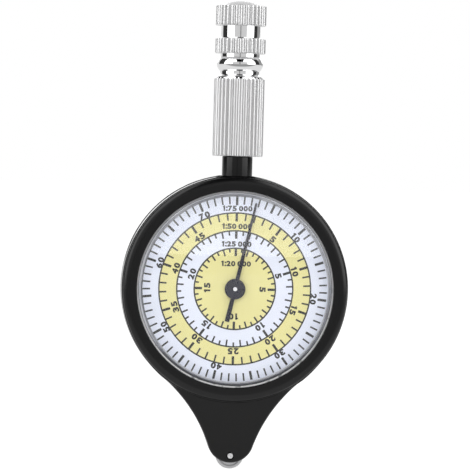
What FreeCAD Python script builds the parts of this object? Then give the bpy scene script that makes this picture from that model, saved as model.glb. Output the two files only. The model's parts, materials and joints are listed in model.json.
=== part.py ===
import FreeCAD, Part
import math
import os
import re

import Sketcher

# Map measurer: a measuring wheel in a foot drives a pointer over two dials, under a turned handle.
# Millimetres, +Z up to the handle, front dial towards -Y, origin where the wheel touches the map.

DRIVING = {
    # Measuring wheel
    "wheel_travel": 20.0,
    "wheel_width": 2.0,
    "wheel_tread_width": 0.9,
    "wheel_bevel": 0.3,
    "wheel_rim_depth": 0.75,
    "wheel_web_width": 1.0,
    "wheel_hub_radius": 1.6,
    "axle_radius": 0.63,
    "axle_dimple_radius": 0.4,
    "axle_dimple_depth": 0.2,
    "axle_sink": 0.03,
    "spacer_wall": 0.5,
    # Gear train
    "pressure_angle": 20.0,
    "first_module_share": 0.015,
    "second_module_share": 0.7,
    "wheel_pinion_teeth": 10,
    "first_gear_teeth": 20,
    "first_pinion_teeth": 10,
    "second_gear_teeth": 50,
    "second_pinion_teeth": 15,
    "centre_gear_teeth": 75,
    "tooth_shift_share": 0.4,
    "tooth_root_share": 1.25,
    "tooth_backlash": 0.06,
    "gear_width": 0.8,
    "pinion_margin": 0.1,
    "gear_level_gap": 0.8,
    "gear_hole_count": 5,
    "gear_hole_circle_share": 0.58,
    "gear_hole_radius_share": 0.21,
    "first_arbor_radius": 0.6,
    "second_arbor_radius": 0.8,
    "pivot_radius": 0.35,
    "pointer_arbor_radius": 0.45,
    # Fits
    "running_clearance": 0.05,
    "end_play": 0.1,
    "cavity_clearance": 0.4,
    "fit_clearance": 0.05,
    # Movement plates
    "plate_margin": 0.2,
    "plate_thickness": 0.8,
    "plate_edge_gap": 0.3,
    "tongue_half_width": 2.6,
    "tongue_tip_radius": 2.9,
    "pillar_inset": 2.1,
    "pillar_angle": 45.0,
    "pillar_radius": 1.2,
    "pillar_gap": 1.35,
    "pillar_count": 4,
    "screw_radius": 0.5,
    "screw_reach": 1.6,
    "screw_head_radius": 1.0,
    "screw_head_depth": 0.4,
    "screw_slot_width": 0.25,
    "screw_slot_depth": 0.2,
    # Dials and pointers
    "dial_inset": 0.4,
    "dial_thickness": 0.4,
    "dial_hole_radius": 0.6,
    "pointer_tip_gap": 0.95,
    "pointer_tail": 7.5,
    "pointer_root_width": 0.9,
    "pointer_tip_width": 0.45,
    "pointer_tail_width": 1.05,
    "pointer_thickness": 0.3,
    "pointer_boss_radius": 1.8,
    "pointer_lift": 0.6,
    "pointer_rest_angle": 12.5,
    "hub_radius": 2.3,
    "hub_thickness": 0.45,
    "hub_chamfer": 0.15,
    "hub_spigot_radius": 1.0,
    "arbor_end_rise": 0.1,
    # Case
    "case_radius": 25.5,
    "case_wall": 1.5,
    "case_shoulder_radius": 0.5,
    "flange_thickness": 1.4,
    "flange_ledge": 0.9,
    "lens_seat_wall": 1.6,
    # Foot
    "foot_shoulder_sink": 0.03,
    "foot_toe_margin": 1.667,
    "foot_toe_rise": 1.62,
    "foot_flank_radius": 34.0,
    "foot_tip_margin": 2.067,
    "foot_wall": 1.8,
    "foot_tip_taper": 1.5,
    "foot_taper_height": 17.0,
    "foot_edge_radius": 0.9,
    "foot_cavity_margin": 0.1,
    "axle_recess_radius": 0.84,
    "axle_recess_depth": 0.5,
    "dowel_radius": 0.5,
    "dowel_reach": 1.5,
    "dowel_wall": 0.94,
    "dowel_drop": 1.28,
    # Lens and bezel
    "lens_rim_gap": 0.6,
    "lens_rim_thickness": 0.5,
    "lens_bevel_width": 1.3,
    "lens_rise": 0.85,
    "lens_thickness": 0.95,
    "bezel_step": 0.4,
    "bezel_width": 3.1,
    "bezel_height": 1.1,
    "bezel_edge_radius": 0.85,
    "bezel_edge_height": 0.2,
    "bezel_lip_chamfer": 0.12,
    "bezel_skirt_depth": 0.4,
    # Neck and handle
    "stem_radius": 3.4,
    "stem_length": 4.45,
    "stem_seat_cut": 0.28,
    "stem_edge_radius": 0.25,
    "stem_spigot_radius": 1.6,
    "stem_spigot_length": 3.5,
    "stem_stud_radius": 2.5,
    "stem_stud_length": 5.6,
    "nut_width": 3.6,
    "nut_height": 1.8,
    "nut_seat_half_width": 2.6,
    "nut_seat_depth": 2.2,
    "nut_seat_drop": 0.28,
    "handle_radius": 5.66,
    "handle_edge": 0.3,
    "barrel_length": 17.0,
    "barrel_chamfer_height": 1.05,
    "neck_inset": 1.3,
    "lower_neck_length": 1.13,
    "bead_inset": 0.54,
    "bead_length": 3.12,
    "upper_neck_length": 0.9,
    "ring_length": 3.35,
    "cap_neck_length": 2.9,
    "cap_length": 4.46,
    "cap_spigot_radius": 2.2,
    "cap_spigot_length": 4.0,
    "dome_inset": 1.62,
    "dome_height": 1.04,
    "bore_depth_margin": 0.6,
    "knurl_count": 30,
    "knurl_depth": 0.32,
    "knurl_half_width": 0.44,
    # One overrun for every cut
    "overrun": 1.0,
}

WORKED_OUT = {
    # Radii of the case and of what fits in it, from the outside in
    "case_cavity_radius": "case_radius - case_wall",
    "plate_radius": "case_cavity_radius - plate_edge_gap",
    "dial_radius": "plate_radius - dial_inset",
    "pillar_circle_radius": "plate_radius - pillar_inset",
    "lens_recess_radius": "case_radius - lens_seat_wall",
    "lens_rim_radius": "lens_recess_radius - lens_rim_gap",
    "flange_opening_radius": "lens_rim_radius - flange_ledge",
    "bezel_radius": "case_radius - bezel_step",
    "bezel_opening_radius": "bezel_radius - bezel_width",
    "lens_flat_radius": "bezel_opening_radius - lens_bevel_width",
    "pointer_length": "lens_flat_radius - pointer_tip_gap",
    # The centre gear fills the space between the pillars, and the first pair clears the wheel
    "centre_tip_radius": "pillar_circle_radius - pillar_radius - pillar_gap",
    "third_module": "centre_tip_radius / (centre_gear_teeth / 2 + 1 - tooth_shift_share)",
    "second_module": "second_module_share * third_module",
    "first_module": "first_module_share * wheel_travel",
    # Heights of the axes above the map
    "wheel_radius": "wheel_travel / (2 * pi)",
    "wheel_height": "wheel_radius",
    "first_height": "wheel_height + first_module * (wheel_pinion_teeth + first_gear_teeth) / 2",
    "second_height": "first_height + second_module * (first_pinion_teeth + second_gear_teeth) / 2",
    "dial_height": "second_height + third_module * (second_pinion_teeth + centre_gear_teeth) / 2",
    # The same axes, measured from the dial's own centre
    "wheel_drop": "wheel_height - dial_height",
    "first_drop": "first_height - dial_height",
    "second_drop": "second_height - dial_height",
    # Levels out from the middle plane
    "gear_half_width": "gear_width / 2",
    "pinion_half_width": "gear_half_width + pinion_margin",
    "gear_level": "gear_width + gear_level_gap",
    "plate_inner": "gear_level + pinion_half_width + plate_margin",
    "plate_outer": "plate_inner + plate_thickness",
    "dial_face": "plate_outer + dial_thickness",
    "flange_face": "dial_face + flange_thickness",
    "case_face": "flange_face + lens_rim_thickness",
    "bezel_face": "case_face + bezel_height",
    "pointer_back": "dial_face + pointer_lift",
    "pointer_front": "pointer_back + pointer_thickness",
    "hub_front": "pointer_front + hub_thickness",
    "shoulder_level": "plate_inner - end_play",
    # Foot
    "first_tip_radius": "first_module * (first_gear_teeth / 2 + 1 - tooth_shift_share)",
    "second_tip_radius": "second_module * (second_gear_teeth / 2 + 1 - tooth_shift_share)",
    "second_cavity_radius": "second_tip_radius + cavity_clearance",
    "dowel_spread": "second_cavity_radius + dowel_wall + dowel_radius",
    "dowel_height": "second_height - dowel_drop",
    "foot_slot_depth": "gear_level + pinion_half_width + foot_cavity_margin",
    "foot_cavity_depth": "plate_outer + foot_cavity_margin",
    "foot_depth": "foot_cavity_depth + foot_wall",
    "foot_tip_depth": "foot_depth - foot_tip_taper",
    "foot_toe_half_width": "wheel_radius + foot_toe_margin",
    "foot_tip_radius": "wheel_radius + foot_tip_margin",
    "foot_toe_drop": "wheel_drop + foot_toe_rise",
    "foot_toe_reach": "sqrt(foot_toe_half_width ^ 2 + foot_toe_drop ^ 2)",
    # Each flank runs from the toe to where it touches the drum
    "foot_shoulder_radius": "case_radius - foot_shoulder_sink",
    "flank_centre_radius": "foot_shoulder_radius + foot_flank_radius",
    "foot_shoulder_angle": "atan(-foot_toe_half_width / foot_toe_drop)"
                           " + acos((flank_centre_radius ^ 2 + foot_toe_reach ^ 2"
                           " - foot_flank_radius ^ 2) / (2 * flank_centre_radius * foot_toe_reach))",
    "foot_shoulder_half_width": "foot_shoulder_radius * sin(foot_shoulder_angle)",
    "foot_shoulder_drop": "-foot_shoulder_radius * cos(foot_shoulder_angle)",
    "foot_taper_drop": "foot_taper_height - dial_height",
    "axle_half_length": "foot_tip_depth + (foot_depth - foot_tip_depth) * wheel_height / foot_taper_height"
                        " - axle_sink",
    # Handle radii, then heights, each one standing on the one before
    "neck_radius": "handle_radius - neck_inset",
    "bead_radius": "handle_radius - bead_inset",
    "dome_radius": "handle_radius - dome_inset",
    "stem_bottom": "dial_height + case_radius - stem_seat_cut",
    "barrel_bottom": "stem_bottom + stem_length",
    "barrel_top": "barrel_bottom + barrel_length",
    "lower_neck_bottom": "barrel_top + barrel_chamfer_height",
    "bead_bottom": "lower_neck_bottom + lower_neck_length",
    "bead_top": "bead_bottom + bead_length",
    "ring_bottom": "bead_top + upper_neck_length",
    "ring_top": "ring_bottom + ring_length",
    "cap_bottom": "ring_top + cap_neck_length",
    "cap_top": "cap_bottom + cap_length",
    "nut_top": "dial_height + case_cavity_radius - nut_seat_drop",
    "bead_round_radius": "(bead_length ^ 2 / 4 + (bead_radius - neck_radius) ^ 2)"
                         " / (2 * (bead_radius - neck_radius))",
    "dome_round_radius": "(dome_radius ^ 2 + dome_height ^ 2) / (2 * dome_height)",
}

FRONT, BACK = "front", "rear"
SIDES = (FRONT, BACK)

doc = FreeCAD.newDocument("MapMeasurer")
sheet = doc.addObject("Spreadsheet::Sheet", "Sizes")
for row, (name, number) in enumerate(DRIVING.items(), start=1):
    sheet.set(f"A{row}", name)
    sheet.set(f"B{row}", str(number))
    sheet.setAlias(f"B{row}", name)
doc.recompute()


def bind(formula):
    """Writes a formula's size names out as cells of the sheet."""

    def cell(match):
        name = match.group()
        if name in WORKED_OUT:
            return f"({bind(WORKED_OUT[name])})"
        return f"Sizes.{name}" if name in DRIVING else name

    return re.sub(r"[a-z_]+", cell, formula)


def size(formula):
    """The present value of a formula."""
    return float(sheet.evalExpression(bind(formula)))


def new_body(label, side=None, height="0"):
    """A body whose own Z axis points out of the front or rear face, or straight up."""
    body = doc.addObject("PartDesign::Body", label)
    body.Label = label
    body.AllowCompound = True
    upright = FreeCAD.Rotation()
    outwards = FreeCAD.Rotation(FreeCAD.Vector(1, 0, 0), 90)
    half_turn = FreeCAD.Rotation(FreeCAD.Vector(0, 0, 1), 180)
    rotation = {None: upright, FRONT: outwards, BACK: half_turn.multiply(outwards)}[side]
    body.Placement = FreeCAD.Placement(FreeCAD.Vector(), rotation)
    body.setExpression("Placement.Base.z", bind(height))
    return body


def origin_part(body, role):
    return next(item for item in body.Origin.OriginFeatures if item.Role == role)


def new_sketch(body, name, plane, level, turn="0"):
    """An empty sketch on one of the body's own origin planes, raised to a level."""
    sketch = body.newObject("Sketcher::SketchObject", name)
    sketch.AttachmentSupport = (origin_part(body, plane), [""])
    sketch.MapMode = "FlatFace"
    sketch.AttachmentOffset = FreeCAD.Placement(
        FreeCAD.Vector(), FreeCAD.Rotation(FreeCAD.Vector(0, 0, 1), size(turn))
    )
    sketch.setExpression("AttachmentOffset.Base.z", bind(level))
    if turn != "0":
        sketch.setExpression("AttachmentOffset.Rotation.Angle", bind(turn))
    return sketch


def pin_point(sketch, geometry, position, x, y):
    """Fixes a point of the sketch at (x, y), both formulas."""
    origin, x_axis, y_axis = (-1, 1), -1, -2
    for kind, formula, axis in (("DistanceX", x, y_axis), ("DistanceY", y, x_axis)):
        if formula == "0":
            sketch.addConstraint(Sketcher.Constraint("PointOnObject", geometry, position, axis))
        else:
            index = sketch.addConstraint(
                Sketcher.Constraint(kind, *origin, geometry, position, size(formula))
            )
            sketch.setExpression(f"Constraints[{index}]", bind(formula))


def arc_between(start, end, radius):
    """The short arc from start to end: anticlockwise for a radius above zero, else clockwise."""
    half = (end - start) * 0.5
    left = FreeCAD.Vector(-half.y, half.x, 0).normalize()
    rise = math.sqrt(max(radius ** 2 - half.Length ** 2, 0))
    centre = start + half + left * math.copysign(rise, radius)
    first, last = (start, end) if radius > 0 else (end, start)
    angles = [math.atan2(point.y - centre.y, point.x - centre.x) for point in (first, last)]
    circle = Part.Circle(centre, FreeCAD.Vector(0, 0, 1), abs(radius))
    return Part.ArcOfCircle(circle, *angles)


def draw_outline(body, name, plane, corners, level="0", turn="0"):
    """A closed outline. A corner (x, y) starts a line, and (x, y, radius) starts an arc."""
    sketch = new_sketch(body, name, plane, level, turn)
    points = [FreeCAD.Vector(size(corner[0]), size(corner[1]), 0) for corner in corners]
    ends = []
    for index, corner in enumerate(corners):
        start, end = points[index], points[(index + 1) % len(points)]
        radius = size(corner[2]) if len(corner) == 3 else None
        if radius is None:
            edge = sketch.addGeometry(Part.LineSegment(start, end))
            ends.append((edge, 1, 2))
        else:
            edge = sketch.addGeometry(arc_between(start, end, radius))
            ends.append((edge, 1, 2) if radius > 0 else (edge, 2, 1))
    for index, corner in enumerate(corners):
        edge, first, _ = ends[index]
        before, _, last = ends[index - 1]
        sketch.addConstraint(Sketcher.Constraint("Coincident", before, last, edge, first))
        pin_point(sketch, edge, first, corner[0], corner[1])
        if len(corner) == 3:
            radius = sketch.addConstraint(Sketcher.Constraint("Radius", edge, abs(size(corner[2]))))
            sketch.setExpression(f"Constraints[{radius}]", bind(f"abs({corner[2]})"))
    return sketch


def draw_circles(body, name, plane, circles, level="0"):
    """Circles, each (x, y, radius)."""
    sketch = new_sketch(body, name, plane, level)
    for x, y, radius in circles:
        centre = FreeCAD.Vector(size(x), size(y), 0)
        circle = Part.Circle(centre, FreeCAD.Vector(0, 0, 1), size(radius))
        edge = sketch.addGeometry(circle)
        pin_point(sketch, edge, 3, x, y)
        index = sketch.addConstraint(Sketcher.Constraint("Radius", edge, size(radius)))
        sketch.setExpression(f"Constraints[{index}]", bind(radius))
    return sketch


def draw_rectangle(body, name, plane, left, right, bottom, top, level="0"):
    corners = [(left, bottom), (right, bottom), (right, top), (left, top)]
    return draw_outline(body, name, plane, corners, level)


def pad(body, sketch, length):
    """Raises a sketch along its own normal."""
    feature = body.newObject("PartDesign::Pad", f"{sketch.Name}Pad")
    feature.Profile = sketch
    feature.setExpression("Length", bind(length))
    doc.recompute()
    return feature


def pocket(body, sketch, depth, forwards=True, both_ways=False):
    """Cuts a sketch into the body, along its normal when forwards, and proves that it cut."""
    before = body.Shape.Volume
    feature = body.newObject("PartDesign::Pocket", f"{sketch.Name}Pocket")
    feature.Profile = sketch
    feature.Reversed = forwards
    feature.Midplane = both_ways
    feature.setExpression("Length", bind(depth))
    doc.recompute()
    check_cut(body, feature, before)
    return feature


def revolve(body, sketch, axis="V_Axis"):
    """Turns a half profile about the sketch's own upright axis."""
    feature = body.newObject("PartDesign::Revolution", f"{sketch.Name}Turn")
    feature.Profile = sketch
    feature.ReferenceAxis = (sketch, [axis])
    feature.Angle = 360
    doc.recompute()
    return feature


def groove(body, sketch, axis="V_Axis"):
    """Turns a profile about the sketch's own upright axis and cuts it away."""
    before = body.Shape.Volume
    feature = body.newObject("PartDesign::Groove", f"{sketch.Name}Groove")
    feature.Profile = sketch
    feature.ReferenceAxis = (sketch, [axis])
    feature.Angle = 360
    doc.recompute()
    check_cut(body, feature, before)
    return feature


def check_cut(body, feature, before):
    if not body.Shape.Volume < before:
        raise RuntimeError(f"{feature.Name} in {body.Label} cuts nothing")


def repeat_round(body, features, count):
    """Repeats features about the body's own Z axis."""
    pattern = body.newObject("PartDesign::PolarPattern", f"{features[0].Name}Round")
    pattern.Originals = features
    pattern.Axis = (origin_part(body, "Z_Axis"), [""])
    pattern.Angle = 360
    pattern.setExpression("Occurrences", bind(count))
    body.Tip = pattern
    doc.recompute()
    return pattern


def turned(label, profile, side=None, height="0"):
    """A piece turned about its own Z axis from a half profile of (radius, level) corners."""
    body = new_body(label, side, height)
    revolve(body, draw_outline(body, f"{label}_profile", "XZ_Plane", profile))
    return body


def plain_ring(label, inner, outer, low, high, side=FRONT, height="0"):
    """A tube or washer between two levels."""
    profile = [(inner, low), (outer, low), (outer, high), (inner, high)]
    return turned(label, profile, side, height)


def tooth_outline(teeth, module, shift):
    """The closed outline of an involute gear with a tooth pointing along +X."""
    pitch_radius = module * teeth / 2
    angle = math.radians(size("pressure_angle"))
    base_radius = pitch_radius * math.cos(angle)
    tip_radius = pitch_radius + module * (1 + shift)
    root_radius = pitch_radius - module * (size("tooth_root_share") - shift)
    pitch_half_angle = (math.pi / 2 + 2 * shift * math.tan(angle)) / teeth
    pitch_half_angle -= size("tooth_backlash") / (4 * pitch_radius)

    def half_angle(radius):
        """Half of the tooth's own angle at a radius on its involute."""
        roll = math.acos(min(base_radius / radius, 1))
        involute = math.tan(roll) - roll
        return pitch_half_angle + math.tan(angle) - angle - involute

    def point(radius, turn):
        return FreeCAD.Vector(radius * math.cos(turn), radius * math.sin(turn), 0)

    start_radius = max(base_radius, root_radius)
    flank_shares = (0, 0.08, 0.25, 0.5, 0.75, 1)
    radii = [start_radius + share * (tip_radius - start_radius) for share in flank_shares]
    pitch_turn = 2 * math.pi / teeth
    edges = []
    for index in range(teeth):
        middle = index * pitch_turn
        rising = [point(radius, middle - half_angle(radius)) for radius in radii]
        falling = [point(radius, middle + half_angle(radius)) for radius in reversed(radii)]
        root_half = half_angle(start_radius)
        foot = point(root_radius, middle - root_half)
        heel = point(root_radius, middle + root_half)
        next_foot = point(root_radius, middle + pitch_turn - root_half)
        if start_radius > root_radius:
            edges.append(Part.LineSegment(foot, rising[0]).toShape())
        for flank in (rising, falling):
            curve = Part.BSplineCurve()
            curve.interpolate(flank)
            edges.append(curve.toShape())
            if flank is rising:
                top = point(tip_radius, middle)
                edges.append(Part.Arc(rising[-1], top, falling[0]).toShape())
        if start_radius > root_radius:
            edges.append(Part.LineSegment(falling[-1], heel).toShape())
        valley = point(root_radius, middle + pitch_turn / 2)
        edges.append(Part.Arc(heel, valley, next_foot).toShape())
    return Part.Wire(edges)


def gear_solid(teeth, module, shift, low, high, turn_degrees):
    """A toothed disc between two levels, turned about its axis."""
    wire = tooth_outline(int(size(teeth)), size(module), shift)
    disc = Part.Face(wire).extrude(FreeCAD.Vector(0, 0, size(high) - size(low)))
    disc.rotate(FreeCAD.Vector(), FreeCAD.Vector(0, 0, 1), turn_degrees)
    disc.translate(FreeCAD.Vector(0, 0, size(low)))
    return disc


def rod(radius, low, high):
    base = FreeCAD.Vector(0, 0, size(low))
    return Part.makeCylinder(size(radius), size(high) - size(low), base)


def place_shape(label, shape, height):
    """Stores a finished shape as a sub-part on its axis, its own Z towards the front."""
    feature = doc.addObject("Part::Feature", label)
    feature.Label = label
    feature.Shape = shape
    outwards = FreeCAD.Rotation(FreeCAD.Vector(1, 0, 0), 90)
    feature.Placement = FreeCAD.Placement(FreeCAD.Vector(0, 0, size(height)), outwards)
    return feature


def make_gear(label, teeth, module, level, bore, height):
    """A gear whose space faces down, onto the pinion that drives it. Large ones get windows."""
    low, high = f"{level} - gear_half_width", f"{level} + gear_half_width"
    space_down = 180 / size(teeth) - 90
    disc = gear_solid(teeth, module, -size("tooth_shift_share"), low, high, space_down)
    cut_low, cut_high = f"{low} - overrun", f"{high} + overrun"
    disc = disc.cut(rod(bore, cut_low, cut_high))
    pitch_radius = f"{module} * {teeth} / 2"
    if size(pitch_radius) > size("case_radius") / 4:
        window = rod(f"gear_hole_radius_share * {pitch_radius}", cut_low, cut_high)
        window.translate(FreeCAD.Vector(size(f"gear_hole_circle_share * {pitch_radius}"), 0, 0))
        count = int(size("gear_hole_count"))
        for index in range(count):
            turned_window = window.copy()
            turned_window.rotate(FreeCAD.Vector(), FreeCAD.Vector(0, 0, 1), index * 360 / count)
            disc = disc.cut(turned_window)
    return place_shape(label, disc, height)


def make_pinion_arbor(label, teeth, module, low, high, arbor_radius, height):
    """Pinion leaves, arbor and both pivots cut from one steel bar, with a leaf pointing up."""
    shape = gear_solid(teeth, module, size("tooth_shift_share"), low, high, 90)
    shape = shape.fuse(rod(arbor_radius, "-shoulder_level", "shoulder_level"))
    shape = shape.fuse(rod("pivot_radius", "-plate_outer", "plate_outer"))
    return place_shape(label, shape.removeSplitter(), height)


def front_edges(body, lowest):
    """Names of the body's edges that lie above a level and don't run straight across."""
    names = []
    for index, edge in enumerate(body.Shape.Edges, start=1):
        ends = [vertex.Point for vertex in edge.Vertexes]
        across = len(ends) == 2 and abs(ends[0].y - ends[1].y) < edge.Length * 1e-6
        if all(point.z > lowest for point in ends) and not across:
            names.append(f"Edge{index}")
    return names


def make_shell(side):
    """Half of the moulded case: drum, flange behind the lens, foot cheek and handle seat."""
    label = f"{side}_shell"
    body = new_body(label, side, "dial_height")
    foot = [
        ("foot_shoulder_half_width", "0"),
        ("-foot_shoulder_half_width", "0"),
        ("-foot_shoulder_half_width", "foot_shoulder_drop", "-foot_flank_radius"),
        ("-foot_toe_half_width", "foot_toe_drop", "foot_tip_radius"),
        ("foot_toe_half_width", "foot_toe_drop", "-foot_flank_radius"),
        ("foot_shoulder_half_width", "foot_shoulder_drop"),
    ]
    pad(body, draw_outline(body, f"{label}_foot", "XY_Plane", foot), "foot_depth")
    taper = [
        ("foot_taper_drop", "foot_depth"),
        ("-dial_height", "foot_tip_depth"),
        ("-dial_height", "foot_depth + overrun"),
        ("foot_taper_drop", "foot_depth + overrun"),
    ]
    sketch = draw_outline(body, f"{label}_taper", "YZ_Plane", taper)
    tapered = pocket(body, sketch, "2 * foot_shoulder_half_width + 2 * overrun", both_ways=True)
    edges = front_edges(body, size("foot_tip_depth") / 2)
    rounding = body.newObject("PartDesign::Fillet", f"{label}_foot_rounding")
    rounding.Base = (tapered, edges)
    rounding.setExpression("Radius", bind("foot_edge_radius"))
    doc.recompute()
    drum = [
        ("0", "0"),
        ("case_radius", "0"),
        ("case_radius", "case_face - case_shoulder_radius", "case_shoulder_radius"),
        ("case_radius - case_shoulder_radius", "case_face"),
        ("0", "case_face"),
    ]
    revolve(body, draw_outline(body, f"{label}_drum", "XZ_Plane", drum))
    cut_shell_cavities(body, label)
    cut_handle_seat(body, label)
    return body


def cut_shell_cavities(body, label):
    """Room for the movement, the dial, the lens and the wheel, and the holes at the foot."""
    cuts = [
        ("movement", "0", "0", "case_cavity_radius", "0", "dial_face"),
        ("window", "0", "0", "flange_opening_radius", "0", "case_face + overrun"),
        ("lens_seat", "0", "0", "lens_recess_radius", "flange_face", "lens_rim_thickness + overrun"),
        ("second_gear", "0", "second_drop", "second_cavity_radius", "0", "foot_cavity_depth"),
        ("first_gear", "0", "first_drop", "first_tip_radius + cavity_clearance", "0",
         "foot_cavity_depth"),
        ("wheel_slot", "0", "wheel_drop", "wheel_radius + cavity_clearance", "0", "foot_slot_depth"),
        ("axle_hole", "0", "wheel_drop", "axle_radius", "0", "foot_depth + overrun"),
        ("axle_recess", "0", "wheel_drop", "axle_recess_radius",
         "axle_half_length - axle_recess_depth", "foot_depth"),
        ("dowel_left", "-dowel_spread", "dowel_height - dial_height", "dowel_radius", "0",
         "dowel_reach"),
        ("dowel_right", "dowel_spread", "dowel_height - dial_height", "dowel_radius", "0",
         "dowel_reach"),
    ]
    for name, x, y, radius, level, depth in cuts:
        sketch = draw_circles(body, f"{label}_{name}", "XY_Plane", [(x, y, radius)], level)
        pocket(body, sketch, depth)


def cut_handle_seat(body, label):
    """The flat seats and the hole that take the handle's stem and its nut."""
    top, seat_top = "case_radius - stem_seat_cut", "case_radius - case_wall / 2"
    seat = draw_rectangle(
        body, f"{label}_nut_seat", "XY_Plane", "-nut_seat_half_width", "nut_seat_half_width",
        "case_cavity_radius - nut_seat_drop", seat_top,
    )
    pad(body, seat, "nut_seat_depth")
    flat = draw_rectangle(
        body, f"{label}_stem_seat", "XY_Plane", "-case_radius / 2", "case_radius / 2",
        top, "case_radius + overrun",
    )
    pocket(body, flat, "case_face + overrun")
    hole = draw_rectangle(
        body, f"{label}_stem_hole", "XY_Plane", "0", "stem_spigot_radius",
        "case_cavity_radius - nut_seat_drop - overrun / 2", "case_radius",
    )
    groove(body, hole)


def make_bezel(side):
    """The black ring that traps the lens."""
    profile = [
        ("bezel_opening_radius", "case_face"),
        ("lens_rim_radius + fit_clearance", "case_face"),
        ("lens_rim_radius + fit_clearance", "case_face - bezel_skirt_depth"),
        ("lens_recess_radius - fit_clearance", "case_face - bezel_skirt_depth"),
        ("lens_recess_radius - fit_clearance", "case_face"),
        ("bezel_radius - bezel_edge_height", "case_face"),
        ("bezel_radius", "case_face + bezel_edge_height"),
        ("bezel_radius", "bezel_face - bezel_edge_radius", "bezel_edge_radius"),
        ("bezel_radius - bezel_edge_radius", "bezel_face"),
        ("bezel_opening_radius + bezel_lip_chamfer", "bezel_face"),
        ("bezel_opening_radius", "bezel_face - bezel_lip_chamfer"),
    ]
    return turned(f"{side}_bezel", profile, side, "dial_height")


def make_lens(side):
    """The clear lens: a rim under the bezel, a bevel and a flat window."""
    window = "bezel_opening_radius - fit_clearance"
    profile = [
        ("0", "case_face + lens_rise - lens_thickness"),
        ("lens_flat_radius", "case_face + lens_rise - lens_thickness"),
        (window + " - lens_rim_thickness", "flange_face"),
        ("lens_rim_radius", "flange_face"),
        ("lens_rim_radius", "case_face"),
        (window, "case_face"),
        (window, "case_face + fit_clearance"),
        ("lens_flat_radius", "case_face + lens_rise"),
        ("0", "case_face + lens_rise"),
    ]
    return turned(f"{side}_lens", profile, side, "dial_height")


def make_dial(side):
    return plain_ring(
        f"{side}_dial", "dial_hole_radius", "dial_radius", "plate_outer", "dial_face", side,
        "dial_height",
    )


def make_pointer(side):
    """A tapered hand with a blunt tail, resting a little past zero."""
    body = new_body(f"{side}_pointer", side, "dial_height")
    rest = "-pointer_rest_angle" if side == FRONT else "pointer_rest_angle"
    hand = [
        ("pointer_root_width / 2", "0"),
        ("pointer_tip_width / 2", "pointer_length"),
        ("-pointer_tip_width / 2", "pointer_length"),
        ("-pointer_root_width / 2", "0"),
        ("-pointer_tail_width / 2", "-pointer_tail"),
        ("pointer_tail_width / 2", "-pointer_tail"),
    ]
    sketch = draw_outline(body, f"{side}_hand", "XY_Plane", hand, "pointer_back", rest)
    pad(body, sketch, "pointer_thickness")
    centre = [("0", "0", "pointer_boss_radius")]
    boss = draw_circles(body, f"{side}_hand_boss", "XY_Plane", centre, "pointer_back")
    pad(body, boss, "pointer_thickness")
    centre = [("0", "0", "hub_spigot_radius")]
    hole = draw_circles(body, f"{side}_hand_hole", "XY_Plane", centre, "pointer_back")
    pocket(body, hole, "pointer_thickness + overrun")
    return body


def make_pointer_hub(side):
    """The collet that grips the arbor and carries the pointer."""
    profile = [
        ("pointer_arbor_radius", "dial_face + pointer_lift / 2"),
        ("hub_spigot_radius", "dial_face + pointer_lift / 2"),
        ("hub_spigot_radius", "pointer_front"),
        ("hub_radius", "pointer_front"),
        ("hub_radius", "hub_front - hub_chamfer"),
        ("hub_radius - hub_chamfer", "hub_front"),
        ("pointer_arbor_radius", "hub_front"),
    ]
    return turned(f"{side}_pointer_hub", profile, side, "dial_height")


def make_pointer_arbor():
    """The steel arbor through both dials, thicker between the plates."""
    end = "hub_front + arbor_end_rise"
    profile = [
        ("0", f"-({end})"),
        ("pointer_arbor_radius", f"-({end})"),
        ("pointer_arbor_radius", "-shoulder_level"),
        ("second_arbor_radius", "-shoulder_level"),
        ("second_arbor_radius", "shoulder_level"),
        ("pointer_arbor_radius", "shoulder_level"),
        ("pointer_arbor_radius", end),
        ("0", end),
    ]
    return turned("pointer_arbor", profile, FRONT, "dial_height")


def make_plate(side):
    """A movement plate: a disc with a tongue down into the foot, drilled for the train."""
    label = f"{side}_plate"
    body = new_body(label, side, "dial_height")
    disc = draw_circles(body, f"{label}_disc", "XY_Plane", [("0", "0", "plate_radius")], "plate_inner")
    pad(body, disc, "plate_thickness")
    tongue = [
        ("tongue_half_width", "0"),
        ("-tongue_half_width", "0"),
        ("-tongue_half_width", "first_drop", "tongue_tip_radius"),
        ("tongue_half_width", "first_drop"),
    ]
    sketch = draw_outline(body, f"{label}_tongue", "XY_Plane", tongue, "plate_inner")
    pad(body, sketch, "plate_thickness")
    holes = [
        ("0", "0", "pointer_arbor_radius + running_clearance"),
        ("0", "second_drop", "pivot_radius + running_clearance"),
        ("0", "first_drop", "pivot_radius + running_clearance"),
    ]
    sketch = draw_circles(body, f"{label}_pivots", "XY_Plane", holes, "plate_inner - overrun")
    pocket(body, sketch, "plate_thickness + 2 * overrun")
    at_pillar = pillar_place()
    hole = draw_circles(
        body, f"{label}_screw_hole", "XY_Plane", [(*at_pillar, "screw_radius")],
        "plate_inner - overrun",
    )
    drilled = pocket(body, hole, "plate_thickness + 2 * overrun")
    sink = draw_circles(
        body, f"{label}_screw_sink", "XY_Plane", [(*at_pillar, "screw_head_radius")],
        "plate_outer - screw_head_depth",
    )
    sunk = pocket(body, sink, "screw_head_depth + overrun")
    repeat_round(body, [drilled, sunk], "pillar_count")
    return body


def pillar_place():
    """Where the first pillar stands, seen from the dial's centre."""
    return "pillar_circle_radius * cos(pillar_angle)", "pillar_circle_radius * sin(pillar_angle)"


def make_pillars():
    """The posts that hold the two plates apart, drilled through for the screws."""
    body = new_body("plate_pillars", FRONT, "dial_height")
    at_pillar = pillar_place()
    sketch = draw_circles(
        body, "pillar_section", "XY_Plane",
        [(*at_pillar, "pillar_radius"), (*at_pillar, "screw_radius")], "-plate_inner",
    )
    post = pad(body, sketch, "2 * plate_inner")
    repeat_round(body, [post], "pillar_count")
    return body


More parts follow.
